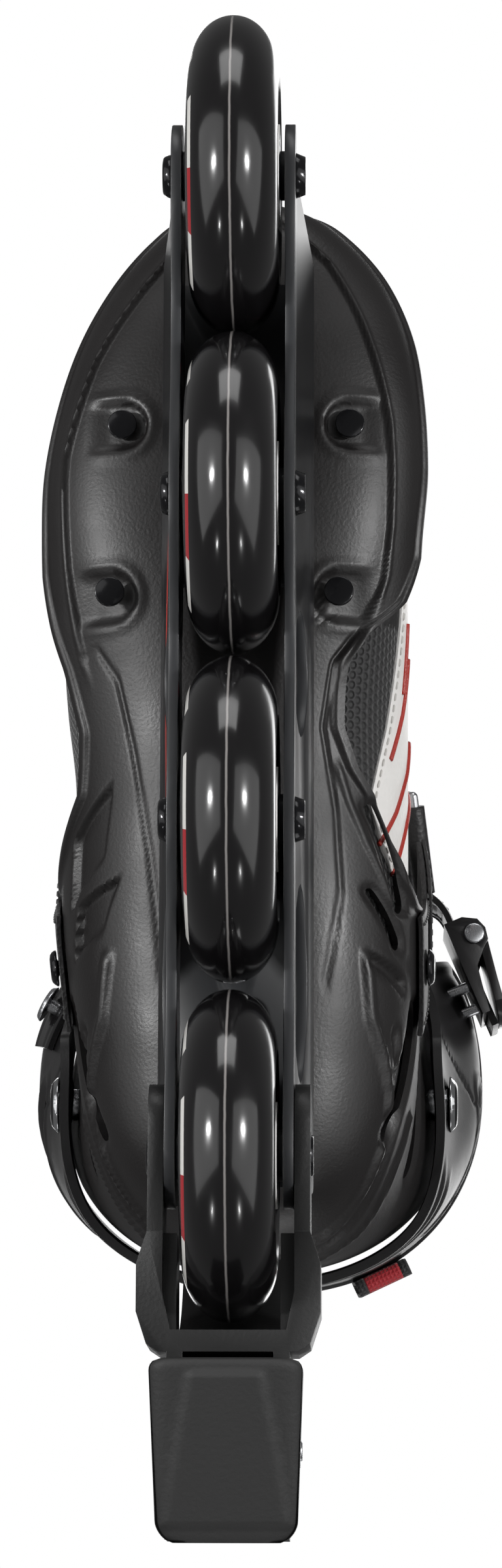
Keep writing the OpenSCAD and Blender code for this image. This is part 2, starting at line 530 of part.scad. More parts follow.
// ---------- ladder strap and buckle ----------
ladder_z = 246;                                   // height of the strap's middle
ladder_w = 22;
ladder_a = 152;                                   // the strap leaves the boot here, towards the buckle
floor_t = 1.3;                                    // thickness of the buckle's floor
seat_gap = 0.3;                                   // air between the cuff and the buckle's floor
strap_bed = seat_gap + floor_t + 0.3;             // height of the strap over the buckle's underside
// The buckle's frame: x outwards, y back along the strap, z up
buckle_turn = -23;
buckle_at = [62.3, 51.1, ladder_z];
module buckle_frame() translate(buckle_at) rotate([0, 0, buckle_turn]) children();
function in_buckle(v) = buckle_at + [v[0] * cos(buckle_turn) - v[1] * sin(buckle_turn),
                                     v[0] * sin(buckle_turn) + v[1] * cos(buckle_turn), v[2]];
function ladder_under(a) = climb(a, over_upper + 1.4, cuff_out + 1, 12, 54);
function on_ladder(a, j, off) = at_height(ladder_z + j * ladder_w / 2, a, ladder_under(a) + off);
// The strap's free stretch from the boot to the buckle, tangent to both
function bridge(t, j, off) =
    let (p = on_ladder(ladder_a, j, off), along = unit(p - on_ladder(ladder_a + 3, j, off)),
         r = in_buckle([strap_bed + off, -30, j * ladder_w / 2]),
         q = in_buckle([strap_bed + off, -17, j * ladder_w / 2]))
    pow(1 - t, 3) * p + 3 * pow(1 - t, 2) * t * (p + 13 * along) + 3 * (1 - t) * t * t * r + t * t * t * q;
function strap_rows(off) = concat(
    [for (a = steps(262, ladder_a, 27)) [for (j = [-1:0.5:1]) on_ladder(a, j, off)]],
    [for (t = steps(0.125, 1, 7)) [for (j = [-1:0.5:1]) bridge(t, j, off)]],
    [for (y = [-8, 0, 9, 18]) [for (j = [-1:0.5:1]) in_buckle([strap_bed + off, y, j * ladder_w / 2])]]);
module ladder_strap() color(black_plastic) difference() {
    union() {
        shell(strap_rows(ladder_t), strap_rows(0));
        // teeth across the free stretch
        for (t = [0.1:0.065:0.95]) {
            p = bridge(t, 0, ladder_t);
            q = bridge(t + 0.02, 0, ladder_t);
            translate(p) rotate([0, 0, atan2(q[1] - p[1], q[0] - p[0])])
                cube([0.9, 1.4, ladder_w - 8], center = true);
        }
    }
    ladder_screw_frame() translate([0, 0, -10]) cylinder(r = 2.2, h = 20);
}
module ladder_screw_frame() {
    p = at_height(ladder_z, 252, cuff_out);
    q = at_height(ladder_z, 248, cuff_out);
    translate(p) rotate([0, 0, atan2(q[1] - p[1], q[0] - p[0]) - 90]) rotate([0, 90, 0]) children();
}
module ladder_screw() color(steel) ladder_screw_frame() {
    translate([0, 0, 1 + ladder_t + 1.6]) cylinder(r1 = 6, r2 = 5, h = 1.6);
    translate([0, 0, -cuff_t - 0.5]) cylinder(r = 2, h = cuff_t + ladder_t + 4);
}
buckle_rivet_y = [3, 10];
buckle_rivet_r = 1.6;
ear_t = 2.2;
ear_z = ladder_w / 2 + 0.8;                       // inner face of an ear
lever_hub_r = buckle_pin_d / 2 + 1.3;             // the lever turns on its pin just above the strap
lever_pin = [strap_bed + ladder_t + lever_hub_r + 0.2, -9];
lever_len = 27;
lever_t = 2.6;
lever_tilt = 9;                                 // the closed lever leans in towards the cuff
module buckle_base() color(black_plastic) buckle_frame() difference() {
    union() {
        translate([seat_gap, -15, -ear_z - ear_t]) cube([floor_t, 29, 2 * (ear_z + ear_t)]);
        for (k = [-1, 1]) translate([0, 0, k * (ear_z + ear_t / 2) - ear_t / 2]) linear_extrude(ear_t)
            polygon([[seat_gap, -15], [seat_gap, 14], [2.6, 14], [3.6, 6], [4.6, 0], [8, -3.6],
                     [10.6, -6], [11.2, -9.5], [10, -12.8], [6, -15]]);
    }
    translate([lever_pin[0], lever_pin[1], -20]) cylinder(r = buckle_pin_d / 2, h = 40);
    for (y = buckle_rivet_y) translate([-5, y, 0]) rotate([0, 90, 0]) {
        cylinder(r = buckle_rivet_r + 0.1, h = 10);
        translate([0, 0, 5 + seat_gap + floor_t - 0.5]) cylinder(r = 3.1, h = 10);
    }
}
module buckle_rivets() color(steel) buckle_frame() for (y = buckle_rivet_y) translate([-6, y, 0])
    rotate([0, 90, 0]) {
        cylinder(r = buckle_rivet_r, h = 6 + seat_gap + floor_t - 0.4);
        translate([0, 0, 6 + seat_gap + floor_t - 0.45]) cylinder(r = 2.8, h = 0.4);
    }
module buckle_pin() color(steel) buckle_frame() translate([lever_pin[0], lever_pin[1], 0]) {
    translate([0, 0, -ear_z - ear_t - 0.8]) cylinder(r = buckle_pin_d / 2 - fit, h = 2 * (ear_z + ear_t) + 1.6);
    for (k = [-1, 1]) translate([0, 0, k * (ear_z + ear_t + 0.8) - 0.6])
        cylinder(r = buckle_pin_d / 2 + 1, h = 1.2);
}
module buckle_lever() color(black_plastic) buckle_frame() translate([lever_pin[0], lever_pin[1], 0])
    rotate([0, 0, lever_tilt]) difference() {
        half = ear_z - 0.4;
        flare = lever_len - 6;
        union() {
            translate([0, 0, -half]) cylinder(r = lever_hub_r, h = 2 * half);
            translate([1, 0, 0]) rotate([90, 0, 90]) linear_extrude(lever_t) polygon(concat(
                [[0, -half], [flare - 7, -half], [flare, -half - 3]],
                [for (t = [-75:15:75]) [flare + 2 + 4 * cos(t), (half + 2) * sin(t)]],
                [[flare, half + 3], [flare - 7, half], [0, half]]));
        }
        translate([0, 0, -20]) cylinder(r = buckle_pin_d / 2 + fit, h = 40);
    }

// ---------- brake ----------
pad_front = 183;                                  // y of the pad's front edge
arm_in = rail_out + 0.15;
arm_out = arm_in + arm_t;
pad_rear = pad_front + pad_len;
pad_top = 30;                                     // the pad's block ends here and its lug goes on up
lug_half = 11;                                    // half the width of the pad's lug
cheek_t = 4;                                      // the bracket's cheeks on either side of it
bolt_seat = lug_half + cheek_t - 0.5;
brake_bolt_r = 2.5;
brake_bolt_at = [204, 38];                        // y and z
module brake_rod(r, x0, x1) rod_x(r, x0, x1, brake_bolt_at[0], brake_bolt_at[1]);
module brake_bracket() color(black_plastic) difference() {
    union() {
        // arms beside the rails, bowed out round the wheel, and the saddle over the pad
        both_sides() {
            along_x(arm_in, arm_out) polygon(concat(
                [for (t = [90:20:270]) [rear_axle_y - 8 + 10 * cos(t), axle_z + 10 * sin(t)]],
                [[166, axle_z - 11], [168, axle_z + 11]]));
            translate([0, 0, 31]) linear_extrude(22) polygon([
                [arm_in, 150], [arm_out, 150], [arm_out + 2.6, 158],
                [arm_out + 2.6, 170], [arm_out, 178], [arm_out - 3, 180], [arm_in - 3, 180], [arm_in, 165]]);
            along_x(lug_half + 0.3, lug_half + 0.3 + cheek_t)
                polygon([[175, 31], [226, 31], [226, 44], [220, 50], [175, 53]]);
        }
        along_x(-arm_in, arm_in) polygon([[174.5, 31], [180, 31], [180, 53], [174.5, 53]]);
        along_x(-lug_half - 1, lug_half + 1) polygon([[178, 46.5], [222, 46.5], [220, 50], [178, 53]]);
    }
    rod_x(axle_d / 2, -40, 40, rear_axle_y, axle_z);
    both_sides() rod_x(axle_head_d / 2 + 0.3, seat_x(3) - 0.02, 60, rear_axle_y, axle_z);
    brake_rod(brake_bolt_r + fit, -40, 40);
    both_sides() brake_rod(5, bolt_seat, 40);
}
module brake_pad() color(rubber) difference() {
    w = pad_w / 2;
    drop = pad_len * tan(pad_rise);
    union() {
        intersection() {
            along_x(-w, w) polygon([[pad_front, pad_lift + 3], [pad_front + 3, pad_lift],
                [pad_rear - 3, pad_lift + drop - 3], [pad_rear, pad_lift + drop + 3],
                [pad_rear, pad_top], [pad_front, pad_top]]);
            linear_extrude(60) polygon([[-w, pad_front + 3], [-w + 3, pad_front], [w - 3, pad_front],
                [w, pad_front + 3], [w - 2, pad_rear - 4], [w - 6, pad_rear], [6 - w, pad_rear],
                [2 - w, pad_rear - 4]]);
        }
        translate([-lug_half, pad_front + 2, pad_top - 1]) cube([2 * lug_half, pad_len - 8, 46 - pad_top]);
    }
    brake_rod(brake_bolt_r + fit, -40, 40);
}
module brake_bolt() color(steel) {
    brake_rod(brake_bolt_r, -bolt_seat - 0.5, bolt_seat + 4);
    brake_rod(4.2, -bolt_seat - 3.2, -bolt_seat);
}
module brake_nut() color(steel) difference() {
    brake_rod(4.6, bolt_seat, bolt_seat + 3.5, $fn = 6);
    brake_rod(brake_bolt_r, 0, 60);
}

frame();
mount_bolts();
on_deck() mount_tee_nuts();
axle_sleeves();
axle_screws();
bearing_spacers();
bearing_inner_rings();
behind_axle() brake_bracket();
behind_axle() brake_pad();
behind_axle() brake_bolt();
behind_axle() brake_nut();
on_deck() base_shell();
on_deck() sole_rivets();
on_deck() toe_box();
on_deck() left_quarter();
on_deck() right_quarter();
on_deck() lace_eyelets();
on_deck() liner();
on_deck() tongue();
on_deck() footbed();
on_deck() heel_pad();
on_deck() instep_strap();
on_deck() strap_tab();
on_deck() strap_ring();
on_deck() strap_rivets();
on_deck() pull_loop();
on_deck() pivot_bushes();
on_deck() pivot_pins();
on_deck() cuff_shell();
on_deck() ladder_strap();
on_deck() ladder_screw();
on_deck() buckle_base();
on_deck() buckle_rivets();
on_deck() buckle_pin();
on_deck() buckle_lever();
at_wheel(0) tyre();  // tyre_1
at_wheel(0) hub();  // hub_1
at_wheel(0) bearing_outer_rings();  // bearing_outer_rings_1
at_wheel(0) bearing_balls();  // bearing_balls_1
at_wheel(1) tyre();  // tyre_2
at_wheel(1) hub();  // hub_2
at_wheel(1) bearing_outer_rings();  // bearing_outer_rings_2
at_wheel(1) bearing_balls();  // bearing_balls_2
at_wheel(2) tyre();  // tyre_3
at_wheel(2) hub();  // hub_3
at_wheel(2) bearing_outer_rings();  // bearing_outer_rings_3
at_wheel(2) bearing_balls();  // bearing_balls_3
at_wheel(3) tyre();  // tyre_4
at_wheel(3) hub();  // hub_4
at_wheel(3) bearing_outer_rings();  // bearing_outer_rings_4
at_wheel(3) bearing_balls();  // bearing_balls_4
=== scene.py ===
# %% [markdown]
# # An inline skate, surface by surface
# The skate has three kinds of piece. The hardware (frame, axles, bearings, buckle) already has its true
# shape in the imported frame, so it only gets softer edges and a finish. The moulded boot parts and the
# sewn parts are thin skins over one foot, so they're all cut from one mathematical foot surface.
# %% Load the frame
import json
import math

import bmesh
import bpy
import numpy as np
from mathutils import Matrix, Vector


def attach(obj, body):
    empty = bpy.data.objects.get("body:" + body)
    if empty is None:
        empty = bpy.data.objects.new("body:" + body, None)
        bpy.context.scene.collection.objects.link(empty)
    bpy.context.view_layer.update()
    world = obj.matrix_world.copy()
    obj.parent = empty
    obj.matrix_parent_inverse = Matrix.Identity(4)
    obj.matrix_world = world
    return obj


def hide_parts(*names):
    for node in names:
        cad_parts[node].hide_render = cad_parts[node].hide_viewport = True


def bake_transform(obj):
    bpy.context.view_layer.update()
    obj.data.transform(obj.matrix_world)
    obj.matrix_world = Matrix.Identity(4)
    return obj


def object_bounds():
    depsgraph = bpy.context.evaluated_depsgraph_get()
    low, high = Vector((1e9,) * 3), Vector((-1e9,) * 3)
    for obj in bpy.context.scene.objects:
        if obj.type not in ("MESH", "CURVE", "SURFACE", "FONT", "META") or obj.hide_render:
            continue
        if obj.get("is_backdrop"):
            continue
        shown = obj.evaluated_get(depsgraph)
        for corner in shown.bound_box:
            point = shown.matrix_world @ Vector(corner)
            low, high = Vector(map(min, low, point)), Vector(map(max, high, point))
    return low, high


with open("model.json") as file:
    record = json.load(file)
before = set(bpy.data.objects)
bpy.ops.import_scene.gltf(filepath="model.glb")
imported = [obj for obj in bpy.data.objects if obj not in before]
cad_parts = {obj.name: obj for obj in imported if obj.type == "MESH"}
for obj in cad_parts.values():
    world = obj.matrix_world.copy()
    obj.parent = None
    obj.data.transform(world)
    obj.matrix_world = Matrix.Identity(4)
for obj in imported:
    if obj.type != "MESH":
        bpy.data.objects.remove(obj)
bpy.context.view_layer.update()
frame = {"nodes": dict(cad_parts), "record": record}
nodes = frame["nodes"]
MM = 0.001

# %% [markdown]
# ## The foot surface
# A boot is easiest to draw as rings round the foot. Each ring starts at the sole or heel and ends at the
# instep or shin, and is a superellipse: an ellipse whose corners can be made squarer. Twenty-two given
# rings would look faceted, so a smooth curve runs through each of their numbers. Every skin of the
# boot is this one surface, pushed outwards by its own distance, so the layers can never cross.
# %% Rings of the foot, in millimetres
# low end y and z, high end y and z, right and left half widths, middle x, height share of the widest
# place, squareness below and above, share of an offset that goes forwards, share that goes sideways
RINGS = np.array([
    [-134, 115, -134, 124, -1.7, 2.3, 2, 0.50, 2.2, 2.0, 1.00, 0],
    [-132, 111, -132, 131,  8, 12,  2, 0.48, 2.4, 2.0, 0.85, 0.7],
    [-128, 108, -128, 137, 15, 20,  2, 0.46, 2.6, 2.0, 0.60, 0.9],
    [-119, 106, -119, 143, 24, 29,  2, 0.45, 3.0, 2.1, 0.30, 1],
    [-105, 105, -105, 149, 33, 36,  2, 0.44, 3.4, 2.2, 0.10, 1],
    [ -88, 104,  -88, 153, 39, 39,  1, 0.42, 3.6, 2.2, 0, 1],
    [ -68, 104,  -68, 159, 43, 40, -1, 0.42, 3.6, 2.2, 0, 1],
    [ -48, 105,  -49, 167, 44, 39, -2, 0.42, 3.4, 2.2, 0, 1],
    [ -26, 107,  -29, 178, 44, 39, -3, 0.44, 2.8, 2.2, 0, 1],
    [  -4, 109,  -11, 191, 43, 39, -4, 0.44, 2.4, 2.1, 0, 1],
    [  18, 111,    3, 205, 41, 39, -3, 0.44, 2.4, 2.1, 0, 1],
    [  40, 113,   12, 217, 41, 39, -2, 0.45, 2.6, 2.1, 0, 1],
    [  62, 115,   18, 228, 41, 39,  0, 0.45, 2.8, 2.1, 0, 1],
    [  90, 116,   22, 238, 39, 39,  0, 0.45, 2.8, 2.1, 0, 1],
    [ 118, 119,   26, 247, 37, 39,  0, 0.45, 2.6, 2.1, 0, 1],
    [ 134, 133,   28, 254, 37, 40,  1, 0.45, 2.3, 2.2, 0, 1],
    [ 140, 165,   29, 261, 40, 44,  2, 0.45, 2.2, 2.3, 0, 1],
    [ 136, 200,   30, 268, 45, 51,  2, 0.48, 2.2, 2.3, 0, 1],
    [ 132, 232,   31, 276, 49, 52.5,  3, 0.50, 2.2, 2.3, 0, 1],
    [ 129, 258,   31, 287, 49, 52.5,  3, 0.50, 2.2, 2.3, 0, 1],
    [ 126, 284,   30, 301, 49, 53,  3, 0.50, 2.2, 2.3, 0, 1],
    [ 124, 308,   28, 318, 49, 53,  3, 0.50, 2.2, 2.3, 0, 1]], float)


def ring(s):
    """The ring at station s: a Catmull-Rom curve through the four nearest rings' numbers."""
    i = np.clip(np.floor(s).astype(int), 0, len(RINGS) - 2)
    t = (s - i)[..., None]
    a, b, c, d = (RINGS[np.clip(i + k, 0, len(RINGS) - 1)] for k in (-1, 0, 1, 2))
    return b + t / 2 * (c - a + t * (2 * a - 5 * b + 4 * c - d + t * (3 * (b - c) + d - a)))


def skin(s, a, o):
    """The boot's surface at station s and angle a (0 sole or heel, 90 left side, 180 instep), o mm outwards.
    Across: middle + width * |sin a|^(2/n). Along the ring: height * |cos a|^(2/n), n being the squareness."""
    s, a, o = np.broadcast_arrays(np.asarray(s, float), np.asarray(a, float), np.asarray(o, float))
    q = np.moveaxis(ring(s), -1, 0)
    dy, dz = q[2] - q[0], q[3] - q[1]
    h = np.hypot(dy, dz)
    side, rise = np.sin(np.radians(a)), -np.cos(np.radians(a))
    m = q[7] * h
    w = np.where(side >= 0, q[5] - q[6], q[4] + q[6]) + o * q[11]
    power = 2 / np.where(rise < 0, q[8], q[9])
    v = np.where(rise < 0, -(m + o), h - m + o) * np.abs(rise) ** power
    return np.stack([q[6] + np.sign(side) * w * np.abs(side) ** power,
                     q[0] + dy / h * (m + v) - o * q[10], q[1] + dz / h * (m + v)], -1)


def station_at(z, a, o):
    """The station whose point at angle a has height z, found by halving, for the upright part."""
    z, a, o = np.broadcast_arrays(np.asarray(z, float), np.asarray(a, float), np.asarray(o, float))
    low, high = np.full(z.shape, 11.0), np.full(z.shape, 21.0)
    for _ in range(24):
        middle = (low + high) / 2
        below = skin(middle, a, o)[..., 2] < z
        low, high = np.where(below, middle, low), np.where(below, high, middle)
    return (low + high) / 2


def at_height(z, a, o):
    """The surface point at height z and angle a."""
    return skin(station_at(z, a, o), a, o)


print("toe tip", skin(0, 0, 10.1).round(1), "cuff back", at_height(230, 0, 15.1).round(1))

# %% [markdown]
# ## Turning arrays into meshes
# A grid of points is all a skin needs: neighbours along both directions make its quads. Building it from
# arrays keeps it quick, and UVs in millimetres along the cloth let every weave keep its true size.
# %% Grid mesh maker


def add_mesh(name, verts, quads):
    """A mesh object from points in millimetres and faces with the same number of corners."""
    mesh = bpy.data.meshes.new(name)
    quads = np.asarray(quads, dtype=np.int32)
    mesh.vertices.add(len(verts))
    mesh.vertices.foreach_set("co", (np.asarray(verts, float) * MM).astype(np.float32).ravel())
    mesh.loops.add(quads.size)
    mesh.loops.foreach_set("vertex_index", quads.ravel())
    mesh.polygons.add(len(quads))
    mesh.polygons.foreach_set("loop_start", np.arange(0, quads.size, quads.shape[1], dtype=np.int32))
    mesh.polygons.foreach_set("use_smooth", np.ones(len(quads), bool))
    mesh.update(calc_edges=True)
    mesh.validate()
    piece = bpy.data.objects.new(name, mesh)
    bpy.context.scene.collection.objects.link(piece)
    return piece


def grid_quads(rows, cols, wrap_rows=False, wrap_cols=False):
    """Corner numbers of a grid's quads, with the last row or column joined to the first if asked."""
    i, j = np.meshgrid(np.arange(rows - (not wrap_rows)), np.arange(cols - (not wrap_cols)), indexing="ij")
    i, j = i.ravel(), j.ravel()
    i2, j2 = (i + 1) % rows, (j + 1) % cols
    return np.stack([i * cols + j, i * cols + j2, i2 * cols + j2, i2 * cols + j], -1)


def set_uv(piece, uv):
    """Writes one UV per vertex into the layer called cloth."""
    layer = piece.data.uv_layers.new(name="cloth")
    index = np.empty(len(piece.data.loops), dtype=np.int32)
    piece.data.loops.foreach_get("vertex_index", index)
    layer.data.foreach_set("uv", np.asarray(uv)[index].astype(np.float32).ravel())


def add_skin(name, points, thick=0, flip=False, wrap_rows=False, wrap_cols=False, keep=None, edge=0):
    """A skin from a grid of points, with UVs in mm along its mean row and column, thickened inwards.
    keep says which quads stay, and edge is the radius in mm that rounds its rims."""
    rows, cols = points.shape[:2]
    quads = grid_quads(rows, cols, wrap_rows, wrap_cols)
    used = np.arange(rows * cols)
    if keep is not None:
        used, corner = np.unique(quads[keep.ravel()], return_inverse=True)
        quads = corner.reshape(-1, 4)
    piece = add_mesh(name, points.reshape(-1, 3)[used], quads[:, ::-1] if flip else quads)
    across = np.linalg.norm(np.diff(points, axis=1), axis=2).mean(axis=0).cumsum()
    along = np.linalg.norm(np.diff(points, axis=0), axis=2).mean(axis=1).cumsum()
    u, v = np.meshgrid(np.append(0, along), np.append(0, across), indexing="ij")
    set_uv(piece, np.stack([u.ravel(), v.ravel()], -1)[used])
    if thick:
        wall = piece.modifiers.new("wall", "SOLIDIFY")
        wall.thickness = thick * MM
        wall.offset = -1
        wall.use_even_offset = False
    if edge:
        rim = piece.modifiers.new("rim", "BEVEL")
        rim.width, rim.segments, rim.limit_method = edge * MM, 2, "ANGLE"
        rim.angle_limit = math.radians(60)
        rim.harden_normals = True
    return piece


def add_tube(name, path, radius, sides):
    """A round tube along a path, closed to points at its ends. Its rings turn as little as possible."""
    path = np.concatenate([path[:1], path, path[-1:]])
    path[0] += (path[1] - path[2]) * 0.01
    path[-1] += (path[-2] - path[-3]) * 0.01
    radius = np.concatenate([[0.01], np.full(len(path) - 2, float(radius)), [0.01]])[:, None, None]
    ahead = np.gradient(path, axis=0)
    ahead /= np.linalg.norm(ahead, axis=1, keepdims=True)
    up = np.array([0.0, 0.0, 1.0]) if abs(ahead[0, 2]) < 0.9 else np.array([1.0, 0.0, 0.0])
    ups = []
    for t in ahead:
        up = up - t * (up @ t)
        up /= np.linalg.norm(up)
        ups.append(up)
    ups = np.array(ups)
    other = np.cross(ahead, ups)
    turn = np.linspace(0, 2 * np.pi, sides, endpoint=False)[None, :, None]
    return add_skin(name, path[:, None] + radius * (np.cos(turn) * ups[:, None] + np.sin(turn) * other[:, None]),
                    wrap_cols=True)


def resample(path, spacing, carried=None):
    """Points a set distance apart along a path, or the vectors that the path carries at those places."""
    path = np.asarray(path, float)
    run = np.append(0, np.linalg.norm(np.diff(path, axis=0), axis=1).cumsum())
    wanted = np.linspace(0, run[-1], max(2, int(round(run[-1] / spacing)) + 1))
    values = path if carried is None else np.asarray(carried, float)
    return np.stack([np.interp(wanted, run, values[:, k]) for k in range(3)], -1)


def add_stitches(name, path, out, pitch=3.2, length=2.3, radius=0.42):
    """A row of stitches: one small six-sided bead of thread for each pitch of the seam's path."""
    points = resample(path, pitch)
    middle = (points[1:] + points[:-1]) / 2
    ahead = np.diff(points, axis=0)
    ahead /= np.linalg.norm(ahead, axis=1, keepdims=True)
    normal = resample(path, pitch, out)[:len(middle)]
    normal = normal - ahead * (normal * ahead).sum(1, keepdims=True)
    normal /= np.linalg.norm(normal, axis=1, keepdims=True)
    side = np.cross(ahead, normal)
    along = np.array([-0.5, -0.32, 0.32, 0.5]) * length
    size = np.array([0.15, 1, 1, 0.15]) * radius
    turn = np.linspace(0, 2 * np.pi, 6, endpoint=False)
    bead = (along[None, :, None, None] * ahead[:, None, None]
            + size[None, :, None, None] * (np.cos(turn)[None, None, :, None] * normal[:, None, None]
                                           + np.sin(turn)[None, None, :, None] * side[:, None, None]))
    verts = (middle[:, None, None] + bead).reshape(-1, 3)
    one = grid_quads(4, 6, wrap_cols=True)
    quads = (one[None] + (np.arange(len(middle)) * 24)[:, None, None]).reshape(-1, 4)
    return add_mesh(name, verts, quads)


def joined(name, pieces):
    """Several small meshes as one object."""
    book = bmesh.new()
    for piece in pieces:
        book.from_mesh(piece.data)
    mesh = bpy.data.meshes.new(name)
    book.to_mesh(mesh)
    book.free()
    for piece in pieces:
        bpy.data.objects.remove(piece)
    whole = bpy.data.objects.new(name, mesh)
    bpy.context.scene.collection.objects.link(whole)
    return whole


print("mesh makers ready")

# %% [markdown]
# ## Colour and node helpers
# Paint charts give colours as sRGB, but shaders work in linear light, so one function turns hex values
# into linear ones. Another adds a node with its settings and links, and short ones add the usual kinds.
# %% Helpers for materials


def hex_colour(code):
    """An sRGB hex value as linear red, green, blue and alpha."""
    parts = np.array([int(code[i:i + 2], 16) for i in (1, 3, 5)]) / 255
    linear = np.where(parts <= 0.04045, parts / 12.92, ((parts + 0.055) / 1.055) ** 2.4)
    return (*linear, 1.0)


def add(tree, kind, inputs=None, **settings):
    """Adds a node, sets its properties, and gives each input a value or a link from another socket."""
    node = tree.nodes.new(kind)
    for key, value in settings.items():
        setattr(node, key, value)
    for key, value in (inputs or {}).items():
        if isinstance(value, bpy.types.NodeSocket):
            tree.links.new(value, node.inputs[key])
        else:
            node.inputs[key].default_value = value
    return node


def maths(tree, operation, *values):
    """The result of one math node."""
    return add(tree, "ShaderNodeMath", dict(enumerate(values)), operation=operation).outputs[0]


def vector_maths(tree, operation, *values, result=0):
    """The result of one vector math node."""
    return add(tree, "ShaderNodeVectorMath", dict(enumerate(values)), operation=operation).outputs[result]


def ranged(tree, value, to_low, to_high, from_low=0.0, from_high=1.0):
    """A value moved in a straight line from one range to another, and held at its ends."""
    return add(tree, "ShaderNodeMapRange", {"Value": value, "From Min": from_low, "From Max": from_high,
                                            "To Min": to_low, "To Max": to_high}).outputs["Result"]


def noise(tree, place, size_mm, detail):
    """Noise with blotches about size_mm across."""
    return add(tree, "ShaderNodeTexNoise", {"Vector": place, "Scale": 1 / (size_mm * MM),
                                            "Detail": detail}).outputs["Fac"]


def mixed(tree, share, *colours):
    """A mix of two colours, each a linear colour, a hex value or a socket."""
    first, second = (hex_colour(c) if isinstance(c, str) else c for c in colours)
    return add(tree, "ShaderNodeMix", {"Factor": share, 6: first, 7: second}, data_type="RGBA").outputs[2]


def bumped(tree, height, strength, distance_mm):
    """A normal that leans with the slope of a height."""
    return add(tree, "ShaderNodeBump", {"Height": height, "Strength": strength,
                                        "Distance": distance_mm * MM}).outputs["Normal"]


def axes(tree, vector):
    """The three sockets of a vector's parts."""
    return add(tree, "ShaderNodeSeparateXYZ", {0: vector}).outputs


def on_object(tree):
    """A point's place on its object, in metres."""
    return add(tree, "ShaderNodeTexCoord").outputs["Object"]


def on_cloth(tree):
    """A point's place on its cloth, in mm."""
    return add(tree, "ShaderNodeUVMap", uv_map="cloth").outputs[0]


def new_material(name, **shader):
    """A material with one Principled shader, and its tree."""
    material = bpy.data.materials.new(name)
    material.use_nodes = True
    tree = material.node_tree
    set_shader(tree, **shader)
    return material, tree


def set_shader(tree, **shader):
    """Gives inputs of the Principled shader their values or links."""
    for key, value in shader.items():
        socket = tree.nodes["Principled BSDF"].inputs[key.replace("_", " ")]
        if isinstance(value, bpy.types.NodeSocket):
            tree.links.new(value, socket)
        else:
            socket.default_value = value


def wear(piece, material):
    """Gives a piece one material, in place of any that it had."""
    piece.data.materials.clear()
    piece.data.materials.append(material)


def place_piece(piece, material, body, node):
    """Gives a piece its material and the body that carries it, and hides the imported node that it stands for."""
    wear(piece, material)
    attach(piece, body)
    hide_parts(node)
    return piece


# %% [markdown]
# ## Moulded polypropylene
# The base, the cuff and the brake's bracket are injection moulded. The mould is spark eroded, which
# leaves a fine grain, so the highlights break up instead of being sharp. Two sizes of noise do that: one
# for the grain, and one for the slow change of gloss that handling leaves.
# %% Moulded plastic


def moulded_plastic(name, colour, roughness, grain_mm, depth):
    """Spark-eroded plastic: noise of one grain's size for bump, and wide noise for uneven gloss."""
    material, tree = new_material(name, Base_Color=hex_colour(colour), IOR=1.49)
    place = on_object(tree)
    gloss = ranged(tree, noise(tree, place, 35, 4.0), roughness - 0.07, roughness + 0.09, 0.3, 0.7)
    set_shader(tree, Roughness=gloss, Normal=bumped(tree, noise(tree, place, grain_mm, 3.0), depth, 0.4))
    return material


shell_plastic = moulded_plastic("moulded_polypropylene", "#151313", 0.42, 0.9, 0.2)
cuff_plastic = moulded_plastic("moulded_cuff_plastic", "#151415", 0.42, 0.6, 0.1)
bracket_plastic = moulded_plastic("moulded_bracket_nylon", "#121212", 0.46, 1.0, 0.16)
buckle_plastic = moulded_plastic("moulded_buckle_acetal", "#121112", 0.30, 0.7, 0.06)
print("plastics made")

# %% [markdown]
# ## Metals
# The frame is aluminium under satin black paint. Faces that look down or along the frame, its narrow edges,
# are a little paler: a painted highlight. The bolts are steel, bright or blackened.
# %% Metals


def painted_aluminium():
    """Satin paint, with a painted highlight that makes the rails' narrow edges paler, and a thin red line that
    waves along one rail: its height is 66 mm + 4 mm * cos(36 y), y in metres."""
    material, tree = new_material("satin_painted_aluminium", IOR=1.5)
    place = on_object(tree)
    facing = axes(tree, add(tree, "ShaderNodeNewGeometry").outputs["Normal"])["X"]
    # painted highlight: faces that look down or along the frame, not sideways, get the paler colour
    edge = ranged(tree, maths(tree, "ABSOLUTE", facing), 1.0, 0.0, 0.35, 0.75)
    where = axes(tree, place)
    wave = maths(tree, "COSINE", maths(tree, "MULTIPLY", where["Y"], 36.0))
    line_z = maths(tree, "MULTIPLY_ADD", wave, 0.004, 0.066)
    away = maths(tree, "ABSOLUTE", maths(tree, "SUBTRACT", where["Z"], line_z))
    red = maths(tree, "MULTIPLY", maths(tree, "LESS_THAN", away, 0.0011), maths(tree, "LESS_THAN", facing, -0.8))
    set_shader(tree, Base_Color=mixed(tree, red, mixed(tree, edge, "#111113", "#2b2c2e"), "#a3332c"),
               Roughness=ranged(tree, edge, 0.32, 0.4),
               Normal=bumped(tree, noise(tree, place, 0.5, 2.0), 0.06, 0.2))
    return material


def turned_metal(name, colour, roughness, metallic=1.0):
    """Metal from a lathe or a press, with faint scratches of noise drawn out round its axis."""
    material, tree = new_material(name, Base_Color=hex_colour(colour), Metallic=metallic)
    place = on_object(tree)
    drawn_out = (1 / (0.15 * MM), 1 / (3 * MM), 1 / (3 * MM))
    stretch = add(tree, "ShaderNodeMapping", {"Vector": place, "Scale": drawn_out}).outputs[0]
    marks = add(tree, "ShaderNodeTexNoise", {"Vector": stretch, "Scale": 1.0, "Detail": 2.0}).outputs["Fac"]
    set_shader(tree, Roughness=ranged(tree, marks, roughness - 0.08, roughness + 0.08))
    return material


